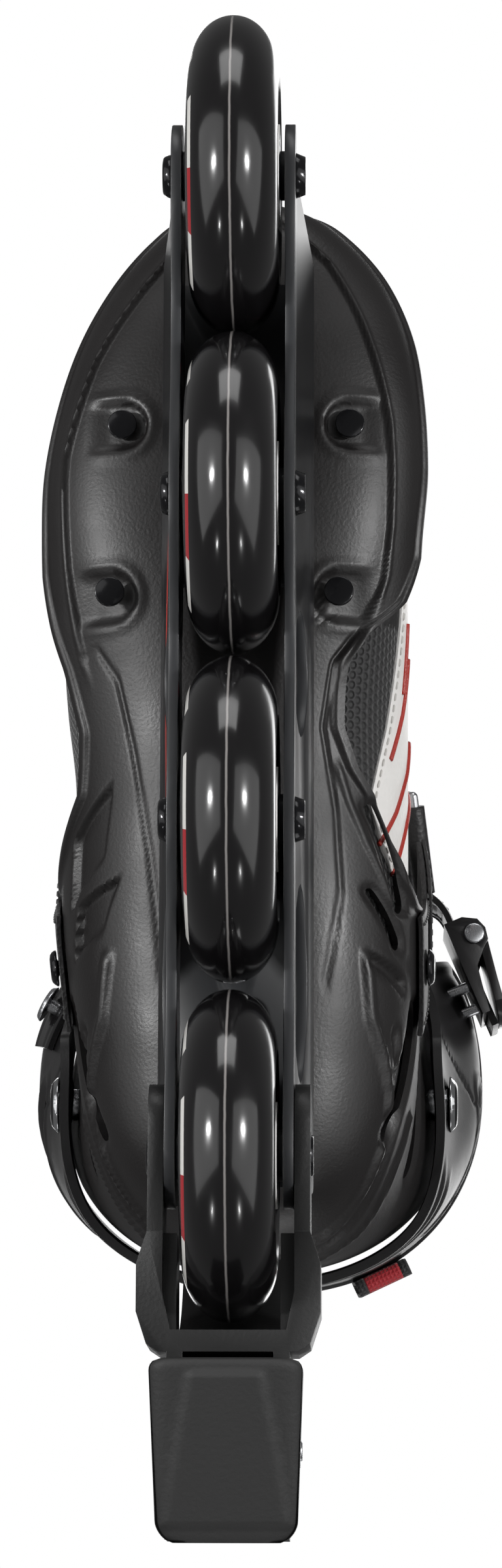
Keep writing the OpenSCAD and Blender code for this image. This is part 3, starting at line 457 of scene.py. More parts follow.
def lacquered_cap():
    """A black lacquered cap with a bare bright rim: the finish changes 7 mm from the cuff's axis."""
    material, tree = new_material("lacquered_cap", Roughness=0.16)
    place = on_object(tree)
    flat = vector_maths(tree, "MULTIPLY", place, (0, 1, 1))
    reach = vector_maths(tree, "DISTANCE", flat, (0, 0.096, 0.195), result="Value")
    rim = maths(tree, "GREATER_THAN", reach, 0.0069)
    set_shader(tree, Base_Color=mixed(tree, rim, "#161617", "#c9cacc"), Metallic=rim)
    return material


frame_paint = painted_aluminium()
bright_steel = turned_metal("zinc_plated_steel", "#c4c5c8", 0.26)
black_steel = turned_metal("black_oxide_steel", "#1d1d1f", 0.16, 0.5)
pivot_cap = lacquered_cap()
print("metals made")

# %% [markdown]
# ## Polyurethane and rubber
# A tyre is cast polyurethane: glossy, with a pale flash line where the two halves of its mould meet. The
# brake pad is vulcanised rubber, dull with a fine pitted grain.
# %% Tyre and brake rubber


def cast_polyurethane():
    """Glossy black urethane: a thin pale flash line round the tread and a printed ring on one sidewall.
    The ring runs 64 degrees across the tread, and sin(0.0714 * mm round the wheel) gives its colours."""
    material, tree = new_material("cast_polyurethane", IOR=1.52, Coat_Weight=0.25, Coat_Roughness=0.07)
    place = on_object(tree)
    drift = maths(tree, "MULTIPLY_ADD", noise(tree, place, 6, 3.0), 0.0003, -0.00015)
    off = maths(tree, "ABSOLUTE", maths(tree, "ADD", axes(tree, place)["X"], drift))
    colour = mixed(tree, ranged(tree, off, 0.75, 0.0, 0.0001, 0.0004), "#100f10", "#8f8b89")
    cloth = axes(tree, on_cloth(tree))
    ring = maths(tree, "COMPARE", cloth["Y"], -64.0, 5.0)
    beat = maths(tree, "SINE", maths(tree, "MULTIPLY", cloth["X"], 0.0714))
    ink = mixed(tree, maths(tree, "GREATER_THAN", beat, 0.72), "#d8d6d2", "#a01822")
    inked = maths(tree, "MULTIPLY", ring, maths(tree, "GREATER_THAN", beat, -0.8))
    set_shader(tree, Base_Color=mixed(tree, inked, colour, ink),
               Roughness=ranged(tree, noise(tree, place, 14, 5.0), 0.13, 0.24, 0.35, 0.75))
    return material


tyre_urethane = cast_polyurethane()
brake_rubber = moulded_plastic("vulcanised_rubber", "#232323", 0.66, 1.1, 0.35)
hub_nylon = moulded_plastic("white_hub_nylon", "#d9d8d6", 0.4, 1.0, 0.04)
gel_rubber = moulded_plastic("gel_rubber", "#9a5a2c", 0.3, 2.0, 0.05)
print("rubbers made")

# %% [markdown]
# ## Cloth and synthetic leather
# The mesh panels are spacer fabric: a knit with staggered round cells. Two rectangular lattices of dots,
# one half a step off the other, make that staggered pattern from the cloth's own UVs, which are in mm.
# %% Fabrics


def knitted_mesh(name, colour, hole, pitch_mm):
    """Spacer fabric: the distance to the nearest of two staggered dot lattices gives the cells."""
    material, tree = new_material(name, Roughness=0.62, Sheen_Weight=0.25, IOR=1.5)
    cloth = on_cloth(tree)
    scale = (1 / pitch_mm, 1 / (pitch_mm * math.sqrt(3)), 1)
    dots = []
    for shift in (0.0, 0.5):
        lattice = {"Vector": cloth, "Scale": scale, "Location": (shift, shift, 0)}
        cell = vector_maths(tree, "FRACTION", add(tree, "ShaderNodeMapping", lattice).outputs[0])
        cell = vector_maths(tree, "SUBTRACT", cell, (0.5, 0.5, 0))
        cell = vector_maths(tree, "MULTIPLY", cell, (1, math.sqrt(3), 0))
        dots.append(vector_maths(tree, "LENGTH", cell, result="Value"))
    wall = ranged(tree, maths(tree, "MINIMUM", *dots), 0.0, 1.0, 0.22, 0.46)
    set_shader(tree, Base_Color=mixed(tree, wall, hole, colour), Normal=bumped(tree, wall, 0.9, 0.6))
    return material


def woven_webbing(name, colour, thread_mm=1.3):
    """Webbing: bands across and threads along, whichever stands higher, as in a coarse plain weave."""
    material, tree = new_material(name, Base_Color=hex_colour(colour), Roughness=0.62, Sheen_Weight=0.2)
    cloth = on_cloth(tree)
    threads = [add(tree, "ShaderNodeTexWave", {"Vector": cloth, "Scale": math.pi / 10 / thread_mm,
                                               "Distortion": 0.6, "Detail": 1.0},
                   bands_direction=way).outputs["Fac"] for way in ("X", "Y")]
    set_shader(tree, Normal=bumped(tree, maths(tree, "MAXIMUM", *threads), 0.6, 0.5))
    return material


def synthetic_leather(name, colour, roughness, grain_mm=1.6):
    """Coated fabric: embossed pebble grain from cells, with fine noise over it."""
    material, tree = new_material(name, Roughness=roughness, IOR=1.5)
    place = on_object(tree)
    cells = add(tree, "ShaderNodeTexVoronoi", {"Vector": place, "Scale": 1 / (grain_mm * MM)}).outputs["Distance"]
    height = maths(tree, "MULTIPLY_ADD", noise(tree, place, 0.5, 3.0), 0.4, cells)
    base = np.array(hex_colour(colour))
    shade = mixed(tree, noise(tree, place, 24, 4.0), tuple(base * (0.8, 0.8, 0.8, 1)), tuple(base))
    set_shader(tree, Base_Color=shade, Normal=bumped(tree, height, 0.35, 0.4))
    return material


black_mesh = knitted_mesh("black_spacer_mesh", "#1c1b1c", "#060606", 2.6)
white_leather = synthetic_leather("white_synthetic_leather", "#e6e4e1", 0.5)
black_leather = synthetic_leather("black_synthetic_leather", "#1a1919", 0.5)
strap_webbing = woven_webbing("black_webbing", "#191819")
red_webbing = woven_webbing("red_webbing", "#a01420")
lining = woven_webbing("brushed_lining", "#2a2a2b", 0.9)
brushed_knit = synthetic_leather("brushed_knit", "#262527", 0.85, 1.3)
strap_leather = synthetic_leather("embossed_strap_leather", "#161516", 0.46, 1.2)
heel_cloth = synthetic_leather("grey_heel_cloth", "#3c3b3c", 0.7, 0.9)
red_piping = synthetic_leather("red_piping", "#a52f25", 0.42, 0.8)
piping_thread = new_material("grey_thread", Base_Color=hex_colour("#b9b6b2"), Roughness=0.5)[0]
black_thread = new_material("black_thread", Base_Color=hex_colour("#3a3a3a"), Roughness=0.55)[0]
print("fabrics made")

# %% [markdown]
# ## Camera, floor and light
# The skate is seen from below its wheels, from about 1.2 m away through a long lens. A floor would hide
# it from there, so the floor's material lets the camera see through its underside, and lets every other
# ray through, so it neither shades nor tints the skate. Two wide soft lights and four small ones stand on
# the camera's side, which puts paired highlights on each tyre. Three more light the toe, top and heel.
# %% Camera


def look(piece, place, target, up):
    """Places a camera or light in mm and turns its -Z to the target, with Y near the given up."""
    back = np.array(place, float) - np.array(target, float)
    back /= np.linalg.norm(back)
    right = np.cross(up, back)
    right /= np.linalg.norm(right)
    turn = Matrix(np.stack([right, np.cross(back, right), back], 1).tolist()).to_4x4()
    piece.matrix_world = Matrix.Translation(np.array(place, float) * MM) @ turn


eye = np.array([38.9, 277.2, -1132.6])
ahead = np.array([-0.0283, -0.2027, 0.9788])
camera = bpy.data.objects.new("camera", bpy.data.cameras.new("camera"))
camera.data.lens = 107.36
camera.data.sensor_width = 36
bpy.context.scene.collection.objects.link(camera)
look(camera, eye, eye + ahead * 1000, (0.0023, -0.9792, -0.2027))
camera.data.clip_end = 20
bpy.context.scene.camera = camera

# %% Floor and lights


def floor_paint():
    """Pale matt paint that only camera rays from above meet."""
    material, tree = new_material("pale_floor", Base_Color=hex_colour("#e9e8e6"), Roughness=0.8)
    ray = add(tree, "ShaderNodeLightPath").outputs["Is Camera Ray"]
    under = add(tree, "ShaderNodeNewGeometry").outputs["Backfacing"]
    solid = maths(tree, "MULTIPLY", ray, maths(tree, "SUBTRACT", 1.0, under))
    clear = add(tree, "ShaderNodeBsdfTransparent").outputs[0]
    both = add(tree, "ShaderNodeMixShader", {0: solid, 1: clear, 2: tree.nodes["Principled BSDF"].outputs[0]})
    tree.links.new(both.outputs[0], tree.nodes["Material Output"].inputs["Surface"])
    return material


HALF_FLOOR, FLOOR_Z = 4000, -0.2
corners = ((-1, -1), (1, -1), (1, 1), (-1, 1))
floor = add_mesh("floor", [(x * HALF_FLOOR, y * HALF_FLOOR, FLOOR_Z) for x, y in corners], [(0, 1, 2, 3)])
wear(floor, floor_paint())
floor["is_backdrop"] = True

LIGHTS = [  # name, place in mm, width and height in mm, watts
    ("soft_left", (-1300, -100, -800), 1500, 2300, 12),
    ("soft_right", (1350, 50, -800), 1500, 2300, 12),
    ("dash_left", (-760, -60, -640), 45, 150, 6),
    ("dash_right", (820, -60, -640), 45, 150, 6),
    ("low_left", (-820, 1000, -700), 50, 120, 1.2),
    ("low_right", (860, 1000, -700), 50, 120, 1.2),
    ("toe_soft", (0, -1300, -450), 1100, 700, 7),
    ("top_soft", (200, -300, 1600), 1200, 1200, 11),
    ("heel_soft", (100, 1300, 500), 900, 600, 3)]
for name, place, wide, tall, watts in LIGHTS:
    lamp = bpy.data.objects.new(name, bpy.data.lights.new(name, "AREA"))
    lamp.data.shape = "RECTANGLE"
    lamp.data.size, lamp.data.size_y, lamp.data.energy = wide * MM, tall * MM, watts
    bpy.context.scene.collection.objects.link(lamp)
    look(lamp, place, (0, 20, 120), (0, 0.1, 1) if abs(place[2]) < 1200 else (0, 1, 0))

world = bpy.data.worlds.new("studio")
bpy.context.scene.world = world
world.use_nodes = True
sky = world.node_tree
seen = add(sky, "ShaderNodeLightPath").outputs["Is Camera Ray"]
glow = ranged(sky, seen, 0.14, 1.0)
sky.nodes["Background"].inputs["Color"].default_value = (1, 1, 1, 1)
sky.links.new(glow, sky.nodes["Background"].inputs["Strength"])
bpy.context.scene.view_settings.view_transform = "Standard"
print("camera and", len(LIGHTS), "lights placed")

# %% [markdown]
# ## Hardware with softened edges
# No real part has knife edges: a cast, pressed or moulded corner has a small radius that catches a line
# of light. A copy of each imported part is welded, its flat faces are merged, and a small bevel rounds its
# sharp corners.
# %% Softened copies of the hardware


def softened(node_name, radius, material):
    """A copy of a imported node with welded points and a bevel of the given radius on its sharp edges."""
    source = nodes[node_name]
    piece = bpy.data.objects.new(node_name + "_rounded", source.data.copy())
    bpy.context.scene.collection.objects.link(piece)
    book = bmesh.new()
    book.from_mesh(piece.data)
    bmesh.ops.remove_doubles(book, verts=book.verts, dist=0.00001)
    bmesh.ops.dissolve_limit(book, angle_limit=math.radians(1.5), verts=book.verts, edges=book.edges)
    book.to_mesh(piece.data)
    book.free()
    piece.data.polygons.foreach_set("use_smooth", np.ones(len(piece.data.polygons), bool))
    edge = piece.modifiers.new("edge", "BEVEL")
    edge.width = radius * MM
    edge.segments = 2
    edge.limit_method = "ANGLE"
    edge.angle_limit = math.radians(35)
    edge.use_clamp_overlap = True
    edge.harden_normals = True
    return place_piece(piece, material, BODY_OF[node_name], node_name)


BODY_OF = {node: body for body, group in frame["record"]["behaviour"]["bodies"].items() for node in group}
SOFTENED = {  # node: edge radius in mm and finish
    "frame": (0.45, frame_paint), "brake_bracket": (1.1, bracket_plastic),
    "axle_sleeves": (0.7, black_steel), "axle_screws": (0.7, black_steel),
    "sole_rivets": (0.3, black_steel), "strap_rivets": (0.9, black_steel), "pivot_pins": (0.8, pivot_cap),
    "pivot_bushes": (0.2, bright_steel), "strap_ring": (0.2, bright_steel), "lace_eyelets": (0.1, black_steel),
    "ladder_screw": (0.5, bright_steel), "buckle_base": (0.6, buckle_plastic),
    "buckle_lever": (0.9, buckle_plastic), "heel_pad": (1.2, gel_rubber),
    "buckle_pin": (0.5, bright_steel), "buckle_rivets": (0.15, bright_steel),
    "mount_bolts": (0.3, bright_steel), "mount_tee_nuts": (0.3, bright_steel),
    "brake_bolt": (0.4, bright_steel), "brake_nut": (0.3, bright_steel),
    "bearing_spacers": (0.1, bright_steel), "bearing_inner_rings": (0.15, bright_steel)}
for number in range(1, 5):
    SOFTENED[f"hub_{number}"] = (0.5, hub_nylon)
    SOFTENED[f"bearing_outer_rings_{number}"] = (0.2, bright_steel)
for node_name, (radius, material) in SOFTENED.items():
    softened(node_name, radius, material)
for number in range(1, 5):
    wear(nodes[f"bearing_balls_{number}"], bright_steel)
print(len(SOFTENED), "parts softened")

# %% [markdown]
# ## Tyres
# A tyre's tread is half an ellipse spun round the axle. Worked out as a fine lathe surface, its highlights
# stay smooth. Its UVs are the distance round the wheel in mm and the angle across the tread in degrees,
# and the printed ring on its sidewall is drawn with them.
# %% Lathe surface of a tyre


WHEEL_PITCH, WHEEL_RADIUS = 86.5, 42.0


def add_tyre(name, axle, deep=15.0, high=WHEEL_RADIUS, half_wide=12.0, rim=25.0):
    """Radius = high - deep + deep * cos t and x = half_wide * sin t, spun round the axle at (y, z)."""
    t = np.radians(np.linspace(-90, 90, 61))
    radius = np.concatenate([high - deep + deep * np.cos(t), [rim, rim]])[None]
    across = np.concatenate([half_wide * np.sin(t), [half_wide - 3, 3 - half_wide]])[None]
    turn = np.linspace(0, 2 * np.pi, 169)[:-1, None]
    points = np.stack([across + 0 * turn, axle[0] + radius * np.sin(turn), axle[1] + radius * np.cos(turn)], -1)
    rows, cols = points.shape[:2]
    piece = add_mesh(name, points.reshape(-1, 3), grid_quads(rows, cols, wrap_rows=True, wrap_cols=True))
    u, v = np.broadcast_arrays(turn * high, np.degrees(np.concatenate([t, t[-1:], t[:1]]))[None])
    set_uv(piece, np.stack([u.ravel(), v.ravel()], -1))
    return piece


for number in range(1, 5):
    tyre = add_tyre(f"tyre_{number}_tread", ((number - 2.5) * WHEEL_PITCH, WHEEL_RADIUS))
    place_piece(tyre, tyre_urethane, f"wheel_{number}", f"tyre_{number}")
print("tyre faces", len(tyre.data.polygons))

# %% [markdown]
# ## Openings with clean edges
# A hole in a grid of quads has stair-stepped edges. Here the quads inside an opening are left out, and the
# points along the stairs then slide onto the opening's outline. That needs a signed distance: the distance
# to the outline, negative inside it, whose slope points straight across the outline.
# %% Distances and sliding


def step(x, a, b):
    """0 below a, 1 above b, and a smooth S curve between."""
    t = np.clip((x - a) / (b - a), 0, 1)
    return t * t * (3 - 2 * t)


def ridge(x, centre, half):
    """A rounded ridge of height 1 about a centre."""
    return np.clip(1 - ((x - centre) / half) ** 2, 0, 1)


def slot_distance(y, z, p, q, rp, rq):
    """Distance from a tapered slot: the distance to its middle line less a radius that runs from rp to rq."""
    dy, dz = q[0] - p[0], q[1] - p[1]
    t = np.clip(((y - p[0]) * dy + (z - p[1]) * dz) / (dy * dy + dz * dz + 1e-9), 0, 1)
    return np.hypot(y - p[0] - t * dy, z - p[1] - t * dz) - (rp + (rq - rp) * t)


def diamond_distance(y, z, centre, tip, half_wide):
    """Distance from a diamond: its half width times (share of length + share of width - 1)."""
    along = np.hypot(*tip)
    u = ((y - centre[0]) * tip[0] + (z - centre[1]) * tip[1]) / along
    v = ((z - centre[1]) * tip[0] - (y - centre[0]) * tip[1]) / along
    return half_wide * (np.abs(u) / along + np.abs(v) / half_wide - 1)


def line_distance(points, path):
    """Distance of each point from a line through the path's points, taken every millimetre."""
    nearest = np.full(points.shape[:-1], 1e9)
    for spot in resample(path, 1.0):
        nearest = np.minimum(nearest, ((points - spot) ** 2).sum(-1))
    return np.sqrt(nearest)


def slid_grid(s, a, place, field, s_mm, a_mm):
    """Slides a grid's points near an opening onto its outline by Newton steps: distance * slope / slope^2.
    place(s, a) gives points, field(points) the distance. Returns s, a and which quads stay."""
    s, a = np.array(np.broadcast_arrays(s, a))
    f = field(place(s, a))
    keep = (f[1:, 1:] + f[1:, :-1] + f[:-1, 1:] + f[:-1, :-1]) > 0
    kept, gone = np.zeros(f.shape, bool), np.zeros(f.shape, bool)
    for i in (slice(0, -1), slice(1, None)):
        for j in (slice(0, -1), slice(1, None)):
            kept[i, j] |= keep
            gone[i, j] |= ~keep
    edge = kept & gone
    for _ in range(4):
        se, ae = s[edge], a[edge]
        now = field(place(se, ae))
        gs = (field(place(se + 0.01, ae)) - now) / (0.01 * s_mm)
        ga = (field(place(se, ae + 0.2)) - now) / (0.2 * a_mm)
        size = np.maximum(gs ** 2 + ga ** 2, 0.05)
        s[edge] = se - np.clip(now * gs / size, -2, 2) / s_mm
        a[edge] = ae - np.clip(now * ga / size, -2, 2) / a_mm
    return s, a, keep


print("slot middle", slot_distance(38.0, 120.5, (26, 114), (50, 127), 1.2, 2.8))

# %% [markdown]
# ## The moulded base
# The base is a tray under the foot that grows into a heel counter. Its lip is thicker than its wall, a
# raised panel line runs inside the lip, and ribs, slots and sunk diamonds stiffen and lighten its sides.
# All of these are raised or sunk on the one foot surface by smooth steps, and the slots go right through.
# %% Base edge, slots and relief
BASE_OUT, WALL = 10.1, 2.4
SLOTS = [((26, 114), (50, 127), 1.2, 2.8), ((49, 115.5), (61, 126), 1.2, 2.2),
         ((80, 144), (112, 131), 6, 3), ((92, 164), (116, 166), 4, 5)]


def base_edge(s, left):
    """Angle of the base's upper edge: high at the toe, low at the waist, highest beside the ankle."""
    medial = np.interp(s, [0, 6, 7.2, 7.8, 8.2, 8.6, 9.4, 9.9, 10.2, 10.8, 11.4, 11.8, 12.1, 13, 13.6, 15.6,
                           16.2, 17],
                       [80, 78, 72, 58, 40, 33, 33, 38, 44, 53, 64, 74, 90, 118, 120, 112, 104, 60])
    lateral = np.interp(s, [0, 6, 7.4, 8.6, 9.4, 10.2, 11.4, 13, 13.6, 15.6, 16.2, 17],
                        [80, 78, 74, 58, 52, 56, 82, 118, 120, 112, 104, 60])
    return np.where(left, medial, lateral)


def base_field(points):
    """Distance from the nearest slot in the base's sides."""
    y, z = points[..., 1], points[..., 2]
    away = np.where(points[..., 0] > 0, 0.0, 50.0)        # the first two slots are in the left side only
    return np.min([slot_distance(y, z, *slot) + away * (number < 2) for number, slot in enumerate(SLOTS)], axis=0)


def base_place(s, a):
    """The base's outside before its relief."""
    return skin(s, a, BASE_OUT)


rows, cols = 268, 157
s = np.concatenate([np.linspace(0, 2.5, 46)[:-1], np.linspace(2.5, 17, rows - 45)])[:, None]
u = np.linspace(-1, 1, cols)[None, :]
a = u * np.where(u > 0, base_edge(s, True), base_edge(s, False))
s, a, base_keep = slid_grid(s, a, base_place, base_field, 22, 0.75)    # mm to a station and to a degree
flat = base_place(s, a)
x, y, z = flat[..., 0], flat[..., 1], flat[..., 2]
left = a > 0
DEGREE_MM = 0.75                # about how far one degree goes round the foot
from_edge = (base_edge(s, left) - np.abs(a)) * DEGREE_MM
from_edge = np.minimum(from_edge, (17 - s) * 26)
relief = 1.1 * (1 - step(from_edge, 2.0, 3.6))
relief += 0.6 * (1 - step(from_edge, 5.5, 7.5)) * step(s, 13, 13.6)
panel = np.where(left, np.interp(s, [1.3, 2.0, 2.88, 4.28, 5.45, 6.88, 7.55, 8.2, 8.9],
                                 [0, 16, 27, 34, 42, 46, 45, 38, 28]),
                 np.interp(s, [1.3, 2.0, 2.8, 4.6, 5.9, 7.65, 8.53, 9.2], [0, 18, 29.5, 47, 53, 49.5, 46, 40]))
beyond = (np.abs(a) - panel) * DEGREE_MM
fade = 1 - step(s, 8.0, 9.0)
relief += fade * (0.9 * step(beyond, -0.9, 0.9) + 0.5 * ridge(beyond, 1.0, 1.5))
for rivet_x, rivet_y in ((-32, -77), (30, -77), (-35, -30), (27, -30)):
    outward = np.sign(rivet_x)
    reach = np.hypot(np.where((x - rivet_x) * outward > 0, 0, x - rivet_x), y - rivet_y)
    near = 1 - step((x - rivet_x) * outward, 4, 11)
    relief += near * (np.abs(a) < 60) * (0.5 * ridge(reach, 8.2, 2.0) - 1.5 * (1 - step(reach, 5.6, 7.4)))
side = np.abs(a) > 25
hole = base_field(flat)
relief -= 1.1 * (1 - step(hole, 0.2, 2.2)) * side
blind = slot_distance(y, z, (67.5, 116.5), (72, 129), 1.4, 2.3)
relief -= 1.9 * (1 - step(blind, -0.8, 0.8)) * left * side
for centre, tip, wide in (((36, 120), (15, 9), 6.5), ((55.5, 120.5), (9, 9), 5.5)):
    relief -= 2.0 * (1 - step(diamond_distance(y, z, centre, tip, wide), -0.4, 0.8)) * ~left * side
print("relief from", relief.min().round(2), "to", relief.max().round(2), "mm")

# %% Ribs round the heel and the waist's panels
RIBS = [  # stations and angles along each rib, its height and its half width in mm
    ([(12.2, 37), (12.78, 39), (13.2, 46), (13.6, 50), (14.0, 50), (14.4, 44), (14.8, 37), (15.1, 30),
      (15.3, 22), (15.4, 10), (15.42, 0)], 1.5, 2.2),
    ([(12.2, -38), (12.78, -42), (13.2, -49), (13.6, -54), (14.0, -54), (14.4, -49), (14.8, -41), (15.1, -32),
      (15.3, -22), (15.4, -10), (15.42, 0)], 1.5, 2.2),
    ([(13.1, 54), (13.6, 57), (14.0, 57), (14.4, 51), (14.8, 44), (15.2, 35), (15.5, 24), (15.65, 8)], -1.5, 2.8),
    ([(13.1, -57), (13.6, -61), (14.0, -61), (14.4, -56), (14.8, -48), (15.2, -37), (15.5, -24), (15.65, -8)],
     -1.5, 2.8),
    ([(14.4, 66), (14.8, 57), (15.2, 47), (15.6, 34), (15.85, 18), (15.95, 0), (15.85, -18), (15.6, -34),
      (15.2, -47), (14.8, -57), (14.4, -66)], 1.1, 2.0),
    ([(8.5, -47), (8.45, -39), (8.8, -32), (9.7, -28), (10.9, -21), (12.3, -16)], -0.7, 1.1),
    ([(8.3, 34), (8.6, 28), (9.4, 26), (10.4, 29), (11.4, 28), (12.4, 20)], -0.7, 1.1),
    ([(9.9, 31), (10.3, 34), (10.8, 40), (11.6, 52)], 0.6, 1.4)]
for path, high, half in RIBS:
    stations, angles = np.array(path, float).T
    mark = line_distance(flat, skin(stations, angles, BASE_OUT))
    relief += high * ridge(mark, 0, half)
relief = np.where(hole < 0.1, np.minimum(relief, -0.9), relief)
relief = np.minimum(relief, 2.6 - 2.3 * step(z, 158, 172))     # lower where the leaning cuff passes over it
base_skin = add_skin("base_moulding", skin(s, a, BASE_OUT + relief), WALL, keep=base_keep, edge=0.5, flip=True)
place_piece(base_skin, shell_plastic, "skate", "base_shell")
print("base faces", len(base_skin.data.polygons))

# %% [markdown]
# ## Mounting blocks
# Two solid blocks under the sole carry the boot on the frame's deck. Each is a squarish column that widens
# where it runs into the sole, like the fillet of a casting.
# %% Blocks under the sole


def add_block(name, y_middle, half_long, half_wide, low, high, flare):
    """A column whose outline is a superellipse of power 8, wider by flare * t^3 at height share t."""
    turn = np.linspace(0, 2 * np.pi, 97)[:-1][None, :]
    t = np.concatenate([[0, 0], np.linspace(0, 1, 16)])[:, None]
    grow = flare * t ** 3 - np.array([half_wide - 0.5, 1.0] + [0.0] * 16)[:, None]
    c, w = np.cos(turn), np.sin(turn)
    size = (np.abs(c) ** 8 + np.abs(w) ** 8) ** (-1 / 8)
    points = np.stack([size * c * (half_wide + grow), y_middle + size * w * (half_long + grow),
                       low + (high - low) * t + 0 * turn], -1)
    return add_skin(name, points, wrap_cols=True)


for name, y_middle, half_long, high in (("front_block", -82.5, 30, 97), ("rear_block", 91.5, 31, 108)):
    place_piece(add_block(name, y_middle, half_long, 16, 90, high, 3), shell_plastic, "skate", "base_shell")
print("blocks made")

# %% [markdown]
# ## Sewn upper
# The upper is two layers: knitted mesh or cloth beneath, and coated panels stitched onto it. Each layer is
# the foot surface again, a fraction of a millimetre further out, so seams have a real step.
# %% Panels of the upper
UPPER_OUT = 6.1


def angles_at(limit, s):
    """A panel's limit at the stations s: a fixed angle, or a function of the station."""
    return np.broadcast_to(limit(s) if callable(limit) else limit, s.shape)


def panel_skin(name, s0, s1, low, high, out, material, node, rows=70, cols=60, thick=1.0):
    """A panel from station s0 to s1, between the angles low and high."""
    ss = np.linspace(s0, s1, rows)[:, None]
    t = np.linspace(0, 1, cols)[None, :]
    lo, hi = angles_at(low, ss), angles_at(high, ss)
    piece = add_skin(name, skin(ss, lo + (hi - lo) * t, out), thick, edge=0.25, flip=True)
    return place_piece(piece, material, "skate", node)


def sew(name, node, path_at, lift, thread):
    """A row of stitches along path_at(height), pointing away from the foot."""
    path = path_at(lift)
    place_piece(add_stitches(name, path, path_at(lift + 1) - path), thread, "skate", node)


def along_path(values, count):
    """A count of numbers spread evenly through a list by straight lines."""
    return np.interp(np.linspace(0, 1, count), np.linspace(0, 1, len(values)), values)


def seam(name, node, stations, angles, out, thread=None):
    """A row of stitches along a line on the foot surface."""
    st, an = along_path(stations, 120), along_path(angles, 120)
    sew(name, node, lambda lift: skin(st, an, lift), out, thread or black_thread)


def quarter_low(s):
    """Angle where the sewn quarters begin, beside the sole."""
    return np.where(s < 13.5, 22, np.where(s < 14.5, 22 * (14.5 - s) + 0.5, 0.5))


def white_edge(s):
    """Angle of the seam where the white panel begins, above the dark mesh."""
    return np.interp(s, [7.2, 8.0, 8.72, 9.3, 9.78, 10.3, 10.9, 11.58, 12.6], [76, 71, 65, 60, 54, 48, 54, 68, 86])


def right_low(s):
    """The other side's end of the quarters."""
    return 360 - quarter_low(s)


def white_heel_top(s):
    """Angle of the white heel patch's upper edge."""
    return np.interp(s, [13.2, 13.6, 14.0, 14.3], [76, 63, 54, 47])


PANELS = [  # name, stations, angles, height, finish, node, and where set, rows, columns and thickness
    ("left_mesh", 8, 12.9, quarter_low, 158, UPPER_OUT, black_mesh, "left_quarter"),
    ("left_heel_cloth", 12.9, 16, quarter_low, 158, UPPER_OUT, heel_cloth, "left_quarter"),
    ("right_mesh", 8, 12.9, 202, right_low, UPPER_OUT, black_mesh, "right_quarter"),
    ("right_heel_cloth", 12.9, 16, 202, right_low, UPPER_OUT, heel_cloth, "right_quarter"),
    ("white_side", 7.4, 13.2, white_edge, 152, 6.8, white_leather, "left_quarter", 110, 70),
    ("white_heel", 13.2, 14.3, 40, white_heel_top, 6.8, white_leather, "left_quarter", 40, 40),
    ("white_side_outer", 7.4, 12.6, 210, 262, 6.8, black_leather, "right_quarter", 90, 50),
    ("left_facing", 8.2, 16, 146, 158, 7.0, black_leather, "left_quarter", 120, 12, 1.2),
    ("right_facing", 8.2, 16, 202, 214, 7.0, black_leather, "right_quarter", 120, 12, 1.2),
    ("toe_cap", 0, 8.05, 34, 326, UPPER_OUT, black_leather, "toe_box", 110, 150, 1.2),
    ("toe_bumper", 0.2, 4.6, lambda s: 76 - 3 * s, lambda s: 284 + 3 * s, 7.4, black_leather, "toe_box",
     70, 110, 1.4)]
for panel in PANELS:
    panel_skin(*panel)
edge_s = np.linspace(7.5, 12.5, 30)
SEAMS = [  # name, node, stations, angles, height, and where set, thread
    ("left_facing_stitch_148", "left_quarter", [8.3, 15.9], [148, 148], 7.1),
    ("left_facing_stitch_156", "left_quarter", [8.3, 15.9], [156.5, 156.5], 7.1),
    ("right_facing_stitch_148", "right_quarter", [8.3, 15.9], [212, 212], 7.1),
    ("right_facing_stitch_156", "right_quarter", [8.3, 15.9], [203.5, 203.5], 7.1),
    ("white_edge_stitch", "left_quarter", edge_s, white_edge(edge_s) + 2.2, 6.9, piping_thread),
    ("right_edge_stitch", "right_quarter", [7.6, 12.5], [259, 259], 6.9),
    ("heel_cloth_stitch", "left_quarter", [12.95, 13.4, 13.9, 14.25], [84, 69, 57, 49], 6.9),
    ("toe_stitch_front", "toe_box", [4.75, 4.75], [66, 294], 6.3),
    ("toe_stitch_rear", "toe_box", [7.6, 7.6], [60, 300], 6.3)]
for row in SEAMS:
    seam(*row)
PIPING = [([7.9, 8.3, 8.83], [82, 78.5, 74]), ([8.33, 9.1, 9.73], [84, 73, 61.5]),
          ([9.4, 9.88, 10.12, 10.45, 10.85], [90, 80, 73, 65, 52]),
          ([10.0, 10.3, 10.6, 11.3], [104, 90, 79, 61]), ([8.1, 10.2, 12.4], [118, 122, 126])]
for number, (stations, angles) in enumerate(PIPING):
    cord = add_tube(f"piping_{number}", skin(along_path(stations, 40), along_path(angles, 40), 6.9), 0.75, 8)
    place_piece(cord, red_piping, "skate", "left_quarter")
print("upper sewn")

# %% [markdown]
# ## Padded liner, tongue and footbed
# The liner is a foam sock with a thick collar, and the tongue ends in a pad. Foam under cloth bulges
# between its seams, so both start slightly smaller than they should end, are remeshed evenly, and are blown
# up by a short cloth simulation. How far a point may move is capped. The sewn channels come afterwards.
# %% Cloth helpers


def coords(mesh):
    """A mesh's points as an array."""
    flat_list = np.empty(len(mesh.vertices) * 3, np.float32)
    mesh.vertices.foreach_get("co", flat_list)
    return flat_list.reshape(-1, 3)


def settled(piece):
    """Works out a piece's modifiers into its mesh and takes them off."""
    graph = bpy.context.evaluated_depsgraph_get()
    mesh = bpy.data.meshes.new_from_object(piece.evaluated_get(graph))
    piece.modifiers.clear()
    piece.data = mesh


